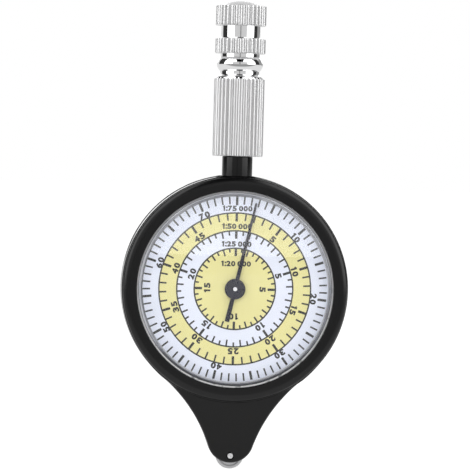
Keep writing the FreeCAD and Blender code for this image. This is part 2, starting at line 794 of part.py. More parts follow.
def make_plate_screws(side):
    """Slotted screws, sunk in a plate and run into the pillars."""
    label = f"{side}_plate_screws"
    body = new_body(label, side, "dial_height")
    at_pillar = pillar_place()
    x, y = at_pillar
    thread = draw_circles(
        body, f"{label}_thread", "XY_Plane", [(*at_pillar, "screw_radius")],
        "plate_inner - screw_reach",
    )
    shank = pad(body, thread, "screw_reach + plate_thickness - screw_head_depth")
    head = draw_circles(
        body, f"{label}_head", "XY_Plane", [(*at_pillar, "screw_head_radius")],
        "plate_outer - screw_head_depth",
    )
    headed = pad(body, head, "screw_head_depth")
    slot = draw_rectangle(
        body, f"{label}_slot", "XY_Plane",
        f"{x} - screw_slot_width / 2", f"{x} + screw_slot_width / 2",
        f"{y} - screw_head_radius - overrun", f"{y} + screw_head_radius + overrun",
        "plate_outer - screw_slot_depth",
    )
    slotted = pocket(body, slot, "screw_slot_depth + overrun")
    repeat_round(body, [shank, headed, slotted], "pillar_count")
    return body


def make_wheel():
    """The measuring wheel: hub, thin web and a rim with a narrow tread."""
    half, web, tread = "wheel_width / 2", "wheel_web_width / 2", "wheel_tread_width / 2"
    rim_inner = "wheel_radius - wheel_rim_depth"
    half_profile = [
        ("wheel_hub_radius", half),
        ("wheel_hub_radius", web),
        (rim_inner, web),
        (rim_inner, half),
        ("wheel_radius - wheel_bevel", half),
        ("wheel_radius", tread),
    ]
    bore = "axle_radius + running_clearance"
    front = [(bore, half)] + half_profile
    back = [(radius, f"-{level}") for radius, level in reversed(half_profile)] + [(bore, f"-{half}")]
    return turned("measuring_wheel", front + back, FRONT, "wheel_height")


def make_wheel_pinion():
    """The pinion riveted to the rear of the wheel, with a leaf pointing up."""
    low = "-gear_level - pinion_half_width"
    teeth = gear_solid(
        "wheel_pinion_teeth", "first_module", size("tooth_shift_share"), low,
        "-wheel_width / 2", 90,
    )
    bore = rod("axle_radius + running_clearance", f"{low} - overrun", "overrun")
    return place_shape("wheel_pinion", teeth.cut(bore), "wheel_height")


def make_axle():
    """The fixed pin that the wheel turns on, with a centre dimple in each end."""
    profile = [
        ("0", "-(axle_half_length - axle_dimple_depth)"),
        ("axle_dimple_radius", "-axle_half_length"),
        ("axle_radius", "-axle_half_length"),
        ("axle_radius", "axle_half_length"),
        ("axle_dimple_radius", "axle_half_length"),
        ("0", "axle_half_length - axle_dimple_depth"),
    ]
    return turned("wheel_axle", profile, FRONT, "wheel_height")


def make_dowels():
    """Two pins pressed into both halves of the case."""
    body = new_body("case_dowels", FRONT, "dowel_height")
    places = [("-dowel_spread", "0", "dowel_radius"), ("dowel_spread", "0", "dowel_radius")]
    sketch = draw_circles(body, "dowel_section", "XY_Plane", places, "-dowel_reach")
    pad(body, sketch, "2 * dowel_reach")
    return body


def make_stem():
    """The glossy black stem: a spigot into the case and a stud into the barrel."""
    profile = [
        ("0", "stem_bottom - stem_spigot_length"),
        ("stem_spigot_radius", "stem_bottom - stem_spigot_length"),
        ("stem_spigot_radius", "stem_bottom"),
        ("stem_radius", "stem_bottom"),
        ("stem_radius", "barrel_bottom - stem_edge_radius", "stem_edge_radius"),
        ("stem_radius - stem_edge_radius", "barrel_bottom"),
        ("stem_stud_radius", "barrel_bottom"),
        ("stem_stud_radius", "barrel_bottom + stem_stud_length"),
        ("0", "barrel_bottom + stem_stud_length"),
    ]
    return turned("neck_stem", profile)


def make_stem_nut():
    """The six-sided nut that draws the stem down onto the case."""
    body = new_body("stem_nut", None, "nut_top - nut_height")
    corner = "nut_width / (2 * cos(30))"
    places = [(f"{corner} * cos({turn})", f"{corner} * sin({turn})") for turn in range(0, 360, 60)]
    places[0], places[3] = (corner, "0"), (f"-{corner}", "0")
    pad(body, draw_outline(body, "nut_hexagon", "XY_Plane", places), "nut_height")
    hole = draw_circles(body, "nut_hole", "XY_Plane", [("0", "0", "stem_spigot_radius")], "-overrun")
    pocket(body, hole, "nut_height + 2 * overrun")
    return body


def knurl(body, label, low, high):
    """Straight V grooves all round, between two levels."""
    groove_outline = [
        ("handle_radius - knurl_depth", "0"),
        ("handle_radius + knurl_depth", "-2 * knurl_half_width"),
        ("handle_radius + knurl_depth", "2 * knurl_half_width"),
    ]
    sketch = draw_outline(body, f"{label}_knurl", "XY_Plane", groove_outline, low)
    cut = pocket(body, sketch, f"{high} - ({low})")
    repeat_round(body, [cut], "knurl_count")


def make_barrel():
    """The long knurled barrel with its bead and short knurled ring, bored at both ends."""
    profile = [
        ("stem_stud_radius", "barrel_bottom"),
        ("handle_radius - handle_edge", "barrel_bottom"),
        ("handle_radius", "barrel_bottom + handle_edge"),
        ("handle_radius", "barrel_top"),
        ("neck_radius", "lower_neck_bottom"),
        ("neck_radius", "bead_bottom", "bead_round_radius"),
        ("neck_radius", "bead_top"),
        ("neck_radius", "ring_bottom"),
        ("handle_radius - handle_edge", "ring_bottom"),
        ("handle_radius", "ring_bottom + handle_edge"),
        ("handle_radius", "ring_top"),
        ("cap_spigot_radius", "ring_top"),
        ("cap_spigot_radius", "ring_top - cap_spigot_length - bore_depth_margin"),
        ("0", "ring_top - cap_spigot_length - bore_depth_margin"),
        ("0", "barrel_bottom + stem_stud_length + bore_depth_margin"),
        ("stem_stud_radius", "barrel_bottom + stem_stud_length + bore_depth_margin"),
    ]
    body = turned("handle_barrel", profile)
    knurl(body, "barrel", "barrel_bottom - overrun", "ring_top + overrun")
    return body


def make_cap():
    """The knurled cap with its domed top, screwed into the barrel by a spigot."""
    profile = [
        ("0", "ring_top - cap_spigot_length"),
        ("cap_spigot_radius", "ring_top - cap_spigot_length"),
        ("cap_spigot_radius", "ring_top"),
        ("neck_radius", "ring_top"),
        ("neck_radius", "cap_bottom"),
        ("handle_radius", "cap_bottom"),
        ("handle_radius", "cap_top - handle_edge"),
        ("handle_radius - handle_edge", "cap_top"),
        ("dome_radius", "cap_top", "dome_round_radius"),
        ("0", "cap_top + dome_height"),
    ]
    body = turned("handle_cap", profile)
    knurl(body, "cap", "cap_bottom - overrun", "cap_top + overrun")
    return body


def make_train():
    """The three pairs of gears from the wheel up to the pointers."""
    front_low, front_high = "gear_level - pinion_half_width", "gear_level + pinion_half_width"
    return [
        make_wheel_pinion(),
        make_gear("first_gear", "first_gear_teeth", "first_module", "-gear_level",
                  "first_arbor_radius", "first_height"),
        make_pinion_arbor("first_pinion", "first_pinion_teeth", "second_module", front_low,
                          front_high, "first_arbor_radius", "first_height"),
        make_gear("second_gear", "second_gear_teeth", "second_module", "gear_level",
                  "second_arbor_radius", "second_height"),
        make_pinion_arbor("second_pinion", "second_pinion_teeth", "third_module",
                          "-pinion_half_width", "pinion_half_width", "second_arbor_radius",
                          "second_height"),
        make_gear("centre_gear", "centre_gear_teeth", "third_module", "0",
                  "second_arbor_radius", "dial_height"),
        make_pointer_arbor(),
    ]


def make_all():
    """Every sub-part of the measurer."""
    pieces = []
    for side in SIDES:
        pieces += [
            make_shell(side), make_bezel(side), make_lens(side), make_dial(side),
            make_pointer(side), make_pointer_hub(side), make_plate(side), make_plate_screws(side),
        ]
    pieces += make_train()
    pieces += [make_pillars(), make_wheel(), make_axle(), make_dowels()]
    pieces.append(plain_ring(
        "wheel_spacer", "axle_radius + running_clearance",
        "axle_radius + running_clearance + spacer_wall", "wheel_width / 2 + running_clearance",
        "foot_slot_depth - running_clearance", FRONT, "wheel_height",
    ))
    pieces += [make_stem(), make_stem_nut(), make_barrel(), make_cap()]
    return pieces


def check_document(pieces):
    """Stops before anything is written if a feature failed or a shape is bad."""
    for item in doc.Objects:
        if "Invalid" in item.State or "Error" in item.State:
            raise RuntimeError(f"{item.Label} failed: {item.State}")
    for piece in pieces:
        if piece.Shape.isNull() or not piece.Shape.isValid():
            raise RuntimeError(f"{piece.Label} has no valid shape")


sub_parts = make_all()
doc.recompute()
check_document(sub_parts)
os.makedirs("parts", exist_ok=True)
for sub_part in sub_parts:
    sub_part.Shape.exportStep(f"parts/{sub_part.Label}.step")
    solids = len(sub_part.Shape.Solids)
    print(f"{sub_part.Label}: {solids} solid(s), {sub_part.Shape.Volume:.2f} mm3")
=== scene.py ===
import json
import logging
import math
from dataclasses import dataclass, field
from enum import Enum
from typing import Iterable, Sequence

import bmesh
import bpy
from mathutils import Matrix, Vector


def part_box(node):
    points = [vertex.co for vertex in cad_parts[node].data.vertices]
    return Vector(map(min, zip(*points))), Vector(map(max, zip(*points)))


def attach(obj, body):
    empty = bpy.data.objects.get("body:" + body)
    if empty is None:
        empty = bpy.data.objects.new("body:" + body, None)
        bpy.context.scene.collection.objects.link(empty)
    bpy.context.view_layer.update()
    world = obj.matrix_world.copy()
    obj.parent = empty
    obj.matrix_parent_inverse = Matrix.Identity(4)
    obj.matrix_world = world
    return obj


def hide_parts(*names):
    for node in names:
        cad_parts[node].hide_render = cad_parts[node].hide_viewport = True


# Map measurer: a dial on each side, a measuring wheel in the foot and a turned metal handle.
# Sizes in the classes are millimetres unless they say otherwise. Pieces are placed in metres, in the
# frame's own axes.

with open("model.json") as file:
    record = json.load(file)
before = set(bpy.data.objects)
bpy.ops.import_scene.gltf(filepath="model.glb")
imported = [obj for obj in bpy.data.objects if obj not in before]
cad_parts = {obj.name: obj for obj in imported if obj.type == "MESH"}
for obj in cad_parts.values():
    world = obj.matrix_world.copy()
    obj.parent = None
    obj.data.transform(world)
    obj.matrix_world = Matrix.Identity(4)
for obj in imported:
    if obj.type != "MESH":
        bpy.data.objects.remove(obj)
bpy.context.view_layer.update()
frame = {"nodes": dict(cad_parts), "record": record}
LOG = logging.getLogger("map_measurer")

MM = 0.001
FULL_TURN = 2 * math.pi
AXIS_OUT = (0, 0, 1)
MERGE = 0.0005
TOUCH = 0.002
ROUND_STEPS = 192


class Side(Enum):
    """The two faces of the instrument, each seen by someone who looks at it."""

    FRONT = "front"
    REAR = "rear"

    @property
    def clockwise(self) -> int:
        """1 where the numbers run clockwise, and -1 where they run the other way."""
        return 1 if self is Side.FRONT else -1

    def place(self, height: float) -> Matrix:
        """Turns (right, up, out) in millimetres into the frame, with the origin on an axis.

        Args:
            height: the axis's height over the map, in millimetres.

        Returns:
            The matrix to apply to a finished mesh.
        """
        facing = -1 if self is Side.FRONT else 1
        turn = Matrix(((-facing, 0, 0), (0, 0, facing), (0, 1, 0))).to_4x4()
        return Matrix.Translation((0, 0, height * MM)) @ turn @ Matrix.Scale(MM, 4)


UPRIGHT = Matrix.Scale(MM, 4)


def cad_span(node: str, axis: int) -> tuple[float, float]:
    """The lowest and highest place of a CAD node along an axis, in millimetres.

    Args:
        node: the node's name.
        axis: 0, 1 or 2 for X, Y or Z.

    Returns:
        Both places.
    """
    low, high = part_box(node)
    return low[axis] / MM, high[axis] / MM


def cad_middle(node: str, axis: int = 2) -> float:
    """The middle of a CAD node along an axis, in millimetres."""
    return sum(cad_span(node, axis)) / 2


def cad_radius(node: str) -> float:
    """Half of a CAD node's width, in millimetres."""
    low, high = cad_span(node, 0)
    return (high - low) / 2


# Finishes


class Sheet:
    """A node tree to write on, of a material or of the world."""

    def __init__(self, owner: bpy.types.Material | bpy.types.World, output: str) -> None:
        """Clears the owner's nodes and adds the output."""
        owner.use_nodes = True
        self.tree = owner.node_tree
        self.tree.nodes.clear()
        self.output = self.add(output)

    def add(self, kind: str, **settings: object) -> bpy.types.Node:
        """Adds a node.

        Args:
            kind: the node's type.
            settings: its own settings by name.

        Returns:
            The node.
        """
        node = self.tree.nodes.new(kind)
        for name, value in settings.items():
            setattr(node, name, value)
        return node

    def link(self, source: bpy.types.NodeSocket, target: bpy.types.NodeSocket) -> None:
        """Joins two sockets."""
        self.tree.links.new(source, target)

    def give(self, value: bpy.types.NodeSocket | float | Sequence[float],
             target: bpy.types.NodeSocket) -> None:
        """Feeds a socket.

        Args:
            value: another socket, a number, or a colour's three channels.
            target: the socket to feed.
        """
        if isinstance(value, bpy.types.NodeSocket):
            self.link(value, target)
        else:
            target.default_value = value if isinstance(value, float) else (*value, 1)

    def parts(self, vector: bpy.types.NodeSocket) -> bpy.types.NodeOutputs:
        """A vector's X, Y and Z."""
        split = self.add("ShaderNodeSeparateXYZ")
        self.link(vector, split.inputs[0])
        return split.outputs

    def spread(self, value: bpy.types.NodeSocket, low: float = 0.0, high: float = 1.0,
               start: float = 0.0, end: float = 1.0) -> bpy.types.NodeSocket:
        """Maps one span of values onto another.

        Args:
            value: the socket to map.
            low: what the start becomes.
            high: what the end becomes.
            start: the value where the span starts.
            end: the value where it ends.

        Returns:
            The mapped value, never outside low to high.
        """
        spread = self.add("ShaderNodeMapRange")
        for name, number in (
            ("From Min", start), ("From Max", end), ("To Min", low), ("To Max", high),
        ):
            spread.inputs[name].default_value = number
        self.link(value, spread.inputs["Value"])
        return spread.outputs["Result"]

    def blend(self, value: bpy.types.NodeSocket, first: bpy.types.NodeSocket | Sequence[float],
              second: bpy.types.NodeSocket | Sequence[float]) -> bpy.types.NodeSocket:
        """Mixes two colours.

        Args:
            value: the share of the second colour.
            first: the first colour.
            second: the second colour.

        Returns:
            The mixed colour.
        """
        mix = self.add("ShaderNodeMix", data_type="RGBA")
        self.give(first, mix.inputs[6])
        self.give(second, mix.inputs[7])
        self.link(value, mix.inputs["Factor"])
        return mix.outputs[2]

    def ramp(self, value: bpy.types.NodeSocket,
             stops: Sequence[tuple[float, float]]) -> bpy.types.NodeSocket:
        """A grey that changes evenly from stop to stop.

        Args:
            value: the value to look up.
            stops: values with their greys, from the lowest value.

        Returns:
            The grey as a colour.
        """
        start, end = stops[0][0], stops[-1][0]
        ramp = self.add("ShaderNodeValToRGB")
        elements = ramp.color_ramp.elements
        while len(elements) < len(stops):
            elements.new(1.0)
        for element, (place, grey) in zip(elements, stops):
            element.position = (place - start) / (end - start)
            element.color = (grey, grey, grey, 1)
        self.link(self.spread(value, start=start, end=end), ramp.inputs[0])
        return ramp.outputs["Color"]

    def maths(self, operation: str, first: bpy.types.NodeSocket,
              second: bpy.types.NodeSocket | float) -> bpy.types.NodeSocket:
        """Works out one operation.

        Args:
            operation: the Math node's operation.
            first: its first value.
            second: its second value, a socket or a number.

        Returns:
            The result.
        """
        node = self.add("ShaderNodeMath", operation=operation)
        self.link(first, node.inputs[0])
        self.give(second, node.inputs[1])
        return node.outputs[0]

    def mixed(self, share: bpy.types.NodeSocket, first: bpy.types.Node,
              second: bpy.types.Node) -> bpy.types.Node:
        """Mixes two shaders.

        Args:
            share: the share of the second.
            first: the first shader's node.
            second: the second shader's node.

        Returns:
            The Mix Shader node.
        """
        mix = self.add("ShaderNodeMixShader")
        self.link(share, mix.inputs[0])
        self.link(first.outputs[0], mix.inputs[1])
        self.link(second.outputs[0], mix.inputs[2])
        return mix


class Shading(Sheet):
    """Writes one material's nodes."""

    def __init__(self, name: str) -> None:
        """Starts an empty material with its output and its object coordinates."""
        self.material = bpy.data.materials.new(name)
        super().__init__(self.material, "ShaderNodeOutputMaterial")
        self.place = self.add("ShaderNodeTexCoord").outputs["Object"]

    def noise(self, per_mm: float, detail: float = 3.0,
              stretch: Sequence[float] = (1, 1, 1)) -> bpy.types.NodeSocket:
        """Fine three-dimensional noise.

        Args:
            per_mm: how many waves fit in a millimetre.
            detail: how many finer layers it has.
            stretch: how much denser it is along X, Y and Z.

        Returns:
            The noise, from 0 to 1.
        """
        mapping = self.add("ShaderNodeMapping")
        mapping.inputs["Scale"].default_value = [s * per_mm / MM for s in stretch]
        texture = self.add("ShaderNodeTexNoise")
        texture.inputs["Scale"].default_value = 1.0
        texture.inputs["Detail"].default_value = detail
        self.link(self.place, mapping.inputs["Vector"])
        self.link(mapping.outputs[0], texture.inputs["Vector"])
        return texture.outputs["Fac"]

    def tones(self, value: bpy.types.NodeSocket, colour: Sequence[float],
              span: tuple[float, float]) -> bpy.types.NodeSocket:
        """Varies a colour between two shades of it.

        Args:
            value: the share of the second shade.
            colour: the colour.
            span: what it is multiplied by in each shade.

        Returns:
            The varied colour.
        """
        return self.blend(value, shade(colour, span[0]), shade(colour, span[1]))

    def bump(self, value: bpy.types.NodeSocket, depth_mm: float) -> bpy.types.NodeSocket:
        """A normal from a height.

        Args:
            value: the height, from 0 to 1.
            depth_mm: what a height of 1 is in millimetres.

        Returns:
            The normal.
        """
        bump = self.add("ShaderNodeBump")
        bump.inputs["Distance"].default_value = depth_mm * MM
        self.link(value, bump.inputs["Height"])
        return bump.outputs["Normal"]

    def principled(self, **numbers: float) -> bpy.types.Node:
        """The main shader, joined to the output.

        Args:
            numbers: its sockets' values, with _ for a blank in a name.

        Returns:
            The shader's node.
        """
        shader = self.add("ShaderNodeBsdfPrincipled")
        for name, value in numbers.items():
            shader.inputs[name.replace("_", " ")].default_value = value
        self.link(shader.outputs[0], self.output.inputs["Surface"])
        return shader


def shade(colour: Sequence[float], factor: float) -> tuple[float, ...]:
    """A colour made lighter or darker.

    Args:
        colour: red, green and blue.
        factor: what each is multiplied by.

    Returns:
        The new colour.
    """
    return tuple(min(channel * factor, 1.0) for channel in colour)


@dataclass(frozen=True)
class Finish:
    """What every finish has: a name and a colour."""

    name: str
    colour: tuple[float, float, float]

    def write(self, sheet: Shading) -> None:
        """Writes the finish's own nodes."""
        raise NotImplementedError

    def material(self) -> bpy.types.Material:
        """The finish's material, made once."""
        made = bpy.data.materials.get(self.name)
        if made is None:
            sheet = Shading(self.name)
            self.write(sheet)
            made = sheet.material
        return made


@dataclass(frozen=True)
class MouldedPlastic(Finish):
    """Hard plastic with a faint moulded grain."""

    roughness: float = 0.4
    grain_depth: float = 0.002
    grain_per_mm: float = 5.0
    shine: float = 0.5
    clouds_per_mm: float = 0.12
    cloud_span: tuple[float, float] = (0.85, 1.2)
    gloss_span: tuple[float, float] = (0.85, 1.15)

    def write(self, sheet: Shading) -> None:
        """Clouds the colour, breaks up the gloss and adds the grain."""
        shader = sheet.principled(Specular_IOR_Level=self.shine)
        cloud = sheet.noise(self.clouds_per_mm)
        grain = sheet.noise(self.grain_per_mm, detail=2.0)
        sheet.link(sheet.tones(cloud, self.colour, self.cloud_span), shader.inputs["Base Color"])
        gloss = sheet.spread(grain, *(self.roughness * share for share in self.gloss_span))
        sheet.link(gloss, shader.inputs["Roughness"])
        sheet.link(sheet.bump(grain, self.grain_depth), shader.inputs["Normal"])


@dataclass(frozen=True)
class TurnedMetal(Finish):
    """Metal with the fine lines that a tool or a brush leaves, along or across an axis."""

    roughness: float = 0.2
    line_depth: float = 0.002
    lines_per_mm: float = 6.0
    stretch: tuple[float, float, float] = (0.05, 0.05, 1.0)
    variation: float = 0.1
    gloss_span: tuple[float, float] = (0.8, 1.25)

    def write(self, sheet: Shading) -> None:
        """Draws the lines into the colour, the gloss and the surface."""
        shader = sheet.principled(Metallic=1.0)
        lines = sheet.noise(self.lines_per_mm, detail=2.0, stretch=self.stretch)
        varied = sheet.tones(lines, self.colour, (1 - self.variation, 1))
        sheet.link(varied, shader.inputs["Base Color"])
        gloss = sheet.spread(lines, *(self.roughness * share for share in self.gloss_span))
        sheet.link(gloss, shader.inputs["Roughness"])
        sheet.link(sheet.bump(lines, self.line_depth), shader.inputs["Normal"])


@dataclass(frozen=True)
class CastAcrylic(Finish):
    """Clear plastic that lets lamps through to what lies behind it."""

    roughness: float = 0.01
    bend: float = 1.49
    haze_per_mm: float = 0.08
    haze_span: tuple[float, float] = (0.985, 1.0)
    clearness_to_lamps: float = 0.96

    def write(self, sheet: Shading) -> None:
        """Mixes clear glass with an open surface for shadow rays."""
        glass = sheet.principled(Transmission_Weight=1.0, IOR=self.bend, Roughness=self.roughness)
        haze = sheet.tones(sheet.noise(self.haze_per_mm), self.colour, self.haze_span)
        sheet.link(haze, glass.inputs["Base Color"])
        open_surface = sheet.add("ShaderNodeBsdfTransparent")
        open_surface.inputs["Color"].default_value = (*shade(self.colour, self.clearness_to_lamps), 1)
        shadow = sheet.add("ShaderNodeLightPath").outputs["Is Shadow Ray"]
        mix = sheet.mixed(shadow, glass, open_surface)
        sheet.link(mix.outputs[0], sheet.output.inputs["Surface"])


@dataclass(frozen=True)
class RingTone:
    """A painted ring on a lens bevel, standing for its reflections and shade: how light it is at a
    radius, in millimetres.
    """

    radius: float
    tone: float


@dataclass(frozen=True)
class BevelledAcrylic(CastAcrylic):
    """The polished bevel of a lens, with painted reflections and painted shade in rings in its colour.

    The centre's height is in metres, and the reach and the left edge's places are millimetres.
    """

    centre_height: float = 0.0
    upper_tones: tuple[RingTone, ...] = ()
    lower_tones: tuple[RingTone, ...] = ()
    left_tones: tuple[RingTone, ...] = ()
    clearness: float = 0.6
    reach: float = 16.0
    left_start: float = 16.0
    left_end: float = 20.0

    def write(self, sheet: Shading) -> None:
        """Paints rings of reflection and shade into the glass about the dial's axis, other ones above,
        below and at the left.
        """
        super().write(sheet)
        glass = next(node for node in sheet.tree.nodes if node.type == "BSDF_PRINCIPLED")
        # Only this share goes through as glass; the rest shows the painted rings as a matt colour.
        glass.inputs["Transmission Weight"].default_value = self.clearness
        centred = sheet.add("ShaderNodeMapping")
        centred.inputs["Scale"].default_value = (1 / MM, 0, 1 / MM)
        centred.inputs["Location"].default_value = (0, 0, -self.centre_height / MM)
        sheet.link(sheet.place, centred.inputs["Vector"])
        length = sheet.add("ShaderNodeVectorMath", operation="LENGTH")
        sheet.link(centred.outputs[0], length.inputs[0])
        parts = sheet.parts(centred.outputs[0])
        upper, lower, left = (
            sheet.ramp(length.outputs["Value"], [(ring.radius, ring.tone) for ring in tones])
            for tones in (self.upper_tones, self.lower_tones, self.left_tones)
        )
        # The painted rings change with height, lighter above and darker below, and again at the left.
        height = sheet.spread(parts["Z"], start=-self.reach, end=self.reach)
        inside = sheet.spread(parts["X"], start=-self.left_end, end=-self.left_start)
        tone = sheet.blend(inside, left, sheet.blend(height, lower, upper))
        sheet.link(tone, glass.inputs["Base Color"])


@dataclass(frozen=True)
class GroundEdge(Finish):
    """The narrow lip at the edge of a lens, with a painted highlight and painted shade in its colour.

    It has a painted highlight below the low height and painted shade above the high one, both in metres,
    broken into short painted dashes.
    """

    roughness: float = 0.6
    bend: float = 1.49
    low: float = 0.0
    high: float = 1.0
    # the painted shade at the top of the lip
    dark: tuple[float, float, float] = (0.62, 0.62, 0.63)
    dashes_per_mm: float = 0.7
    dash_span: tuple[float, float] = (-7.0, 5.0)
    dash_shade: float = 0.35

    def write(self, sheet: Shading) -> None:
        """Fades the painted highlight at the foot to painted shade at the top, in short painted dashes.
        """
        shader = sheet.principled(Roughness=self.roughness, IOR=self.bend)
        fade = sheet.spread(sheet.parts(sheet.place)["Z"], start=self.low, end=self.high)
        # painted dashes that stand for the ticks seen through the lens's edge
        painted_gap_mask = sheet.spread(sheet.noise(self.dashes_per_mm, detail=1.0), *self.dash_span)
        painted_mark_pattern = sheet.blend(painted_gap_mask, self.colour, shade(self.colour, self.dash_shade))
        sheet.link(sheet.blend(fade, painted_mark_pattern, self.dark), shader.inputs["Base Color"])


@dataclass(frozen=True)
class CoatedCard(Finish):
    """Printed card with a thin matt coat."""

    roughness: float = 0.55
    shine: float = 0.3
    mottles_per_mm: float = 0.25
    fibres_per_mm: float = 9.0
    mottle_span: tuple[float, float] = (0.97, 1.02)
    fibre_depth: float = 0.0008

    def write(self, sheet: Shading) -> None:
        """Mottles the print and gives the card its fibres."""
        shader = sheet.principled(Roughness=self.roughness, Specular_IOR_Level=self.shine)
        mottle = sheet.noise(self.mottles_per_mm, detail=4.0)
        fibre = sheet.noise(self.fibres_per_mm, detail=2.0)
        colour = sheet.tones(mottle, self.colour, self.mottle_span)
        sheet.link(colour, shader.inputs["Base Color"])
        sheet.link(sheet.bump(fibre, self.fibre_depth), shader.inputs["Normal"])


@dataclass(frozen=True)
class PrintedInk(Finish):
    """A thin film of ink, a little uneven in strength."""

    roughness: float = 0.5
    shine: float = 0.3
    specks_per_mm: float = 3.0
    strength_span: tuple[float, float] = (0.7, 1.5)

    def write(self, sheet: Shading) -> None:
        """Varies the strength of the ink."""
        shader = sheet.principled(Roughness=self.roughness, Specular_IOR_Level=self.shine)
        strength = sheet.noise(self.specks_per_mm, detail=2.0)
        colour = sheet.tones(strength, self.colour, self.strength_span)
        sheet.link(colour, shader.inputs["Base Color"])


CASE_BLACK = MouldedPlastic(
    "case_black_plastic", (0.0022, 0.0022, 0.0024), roughness=0.12, grain_depth=0.0016,
    shine=0.33,
)
BEZEL_BLACK = MouldedPlastic(
    "bezel_black_satin", (0.004, 0.004, 0.0043), roughness=0.22, grain_depth=0.0012,
    grain_per_mm=8.0, shine=0.42,
)
STEM_BLACK = MouldedPlastic(
    "stem_black_gloss", (0.004, 0.004, 0.0043), roughness=0.12, grain_depth=0.0003, shine=0.38,
)
LENS_CLEAR = CastAcrylic("lens_acrylic", (1.0, 1.0, 1.0))
CARD_WHITE = CoatedCard("dial_card_white", (0.765, 0.80, 0.92))
CARD_YELLOW = CoatedCard("dial_card_yellow", (0.765, 0.715, 0.315))
INK = PrintedInk("dial_ink", (0.006, 0.006, 0.007))
HAND_BLUED = TurnedMetal(
    "hand_blued_steel", (0.009, 0.009, 0.02), roughness=0.45, line_depth=0.0003,
    stretch=(1.0, 1.0, 0.1), variation=0.05,
)
ARBOR_STEEL = TurnedMetal("arbor_steel", (0.72, 0.72, 0.72), roughness=0.22)
PIN_STEEL = TurnedMetal("pin_steel", (0.80, 0.80, 0.81), roughness=0.25)
WHEEL_METAL = TurnedMetal(
    "wheel_nickel", (0.60, 0.60, 0.61), roughness=0.3, stretch=(1.0, 0.1, 1.0),
)
HANDLE_SMOOTH = TurnedMetal(
    "handle_polished_aluminium", (0.90, 0.90, 0.905), roughness=0.07, line_depth=0.0003,
    variation=0.04,
)
HANDLE_KNURLED = TurnedMetal(
    "handle_knurled_aluminium", (0.97, 0.97, 0.975), roughness=0.34, line_depth=0.001,
    lines_per_mm=1.4, stretch=(1.0, 1.0, 0.01), variation=0.4,
)
HANDLE_DOME = TurnedMetal(
    "handle_dome_aluminium", (0.83, 0.83, 0.835), roughness=0.35, line_depth=0.0003, variation=0.1,
)
BRASS = TurnedMetal("movement_brass", (0.78, 0.57, 0.22), roughness=0.3)
SCREW_STEEL = TurnedMetal("movement_steel", (0.55, 0.55, 0.56), roughness=0.3)

CAD_FINISHES = {
    "gear_brass": BRASS,
    "screw_steel": SCREW_STEEL,
    "arbor_steel": ARBOR_STEEL,
    "wheel_metal": WHEEL_METAL,
    "pin_steel": PIN_STEEL,
}


# Mesh work


@dataclass(frozen=True)
class Corner:
    """A corner of a turned profile, in millimetres."""

    radius: float
    level: float
    round_over: float = 0.0
    steps: int = 4


def turned(corners: Sequence[Corner], steps: int = ROUND_STEPS) -> bmesh.types.BMesh:
    """Turns a closed profile about the local Z axis and rounds the corners that ask for it.

    Args:
        corners: the profile, in order.
        steps: how many faces go round.

    Returns:
        A closed mesh in millimetres.
    """
    mesh = bmesh.new()
    points = [mesh.verts.new((corner.radius, 0, corner.level)) for corner in corners]
    edges = [
        mesh.edges.new((first, second))
        for first, second in zip(points, points[1:] + points[:1])
        if max(first.co.x, second.co.x) > TOUCH
    ]
    bmesh.ops.spin(
        mesh, geom=points + edges, cent=(0, 0, 0), axis=AXIS_OUT, angle=FULL_TURN, steps=steps,
        use_merge=True, use_duplicate=False,
    )
    bmesh.ops.remove_doubles(mesh, verts=mesh.verts, dist=MERGE)
    bmesh.ops.recalc_face_normals(mesh, faces=mesh.faces)
    for corner in corners:
        if corner.round_over:
            round_ring(mesh, corner)
    return mesh


def ease(mesh: bmesh.types.BMesh, edges: Sequence[bmesh.types.BMEdge], offset: float,
         steps: int) -> None:
    """Rounds edges.

    Args:
        mesh: the mesh.
        edges: its edges to round.
        offset: how far the rounding reaches, in millimetres.
        steps: how many faces it has across.
    """
    bmesh.ops.bevel(
        mesh, geom=edges, offset=offset, offset_type="OFFSET", affect="EDGES", segments=steps,
        profile=0.5, material=-1, clamp_overlap=True,
    )


def round_ring(mesh: bmesh.types.BMesh, corner: Corner) -> None:
    """Bevels the ring of edges that a corner left when it was turned.

    Args:
        mesh: the turned mesh.
        corner: where the ring lies and how far it is rounded.
    """
    ring = [
        edge for edge in mesh.edges
        if all(
            abs(math.hypot(point.co.x, point.co.y) - corner.radius) < TOUCH
            and abs(point.co.z - corner.level) < TOUCH
            for point in edge.verts
        )
    ]
    ease(mesh, ring, corner.round_over, corner.steps)


def add_bar(mesh: bmesh.types.BMesh, length: float, width: float, height: float,
            place: Matrix) -> None:
    """Adds a thin bar that runs outwards along the local Y axis from the origin.

    Args:
        mesh: the mesh to add to.
        length: along Y.
        width: along X.
        height: along Z.
        place: where the bar goes.
    """
    shape = Matrix.Diagonal((width, length, height, 1))
    bmesh.ops.create_cube(mesh, size=1, matrix=place @ Matrix.Translation((0, length / 2, 0)) @ shape)


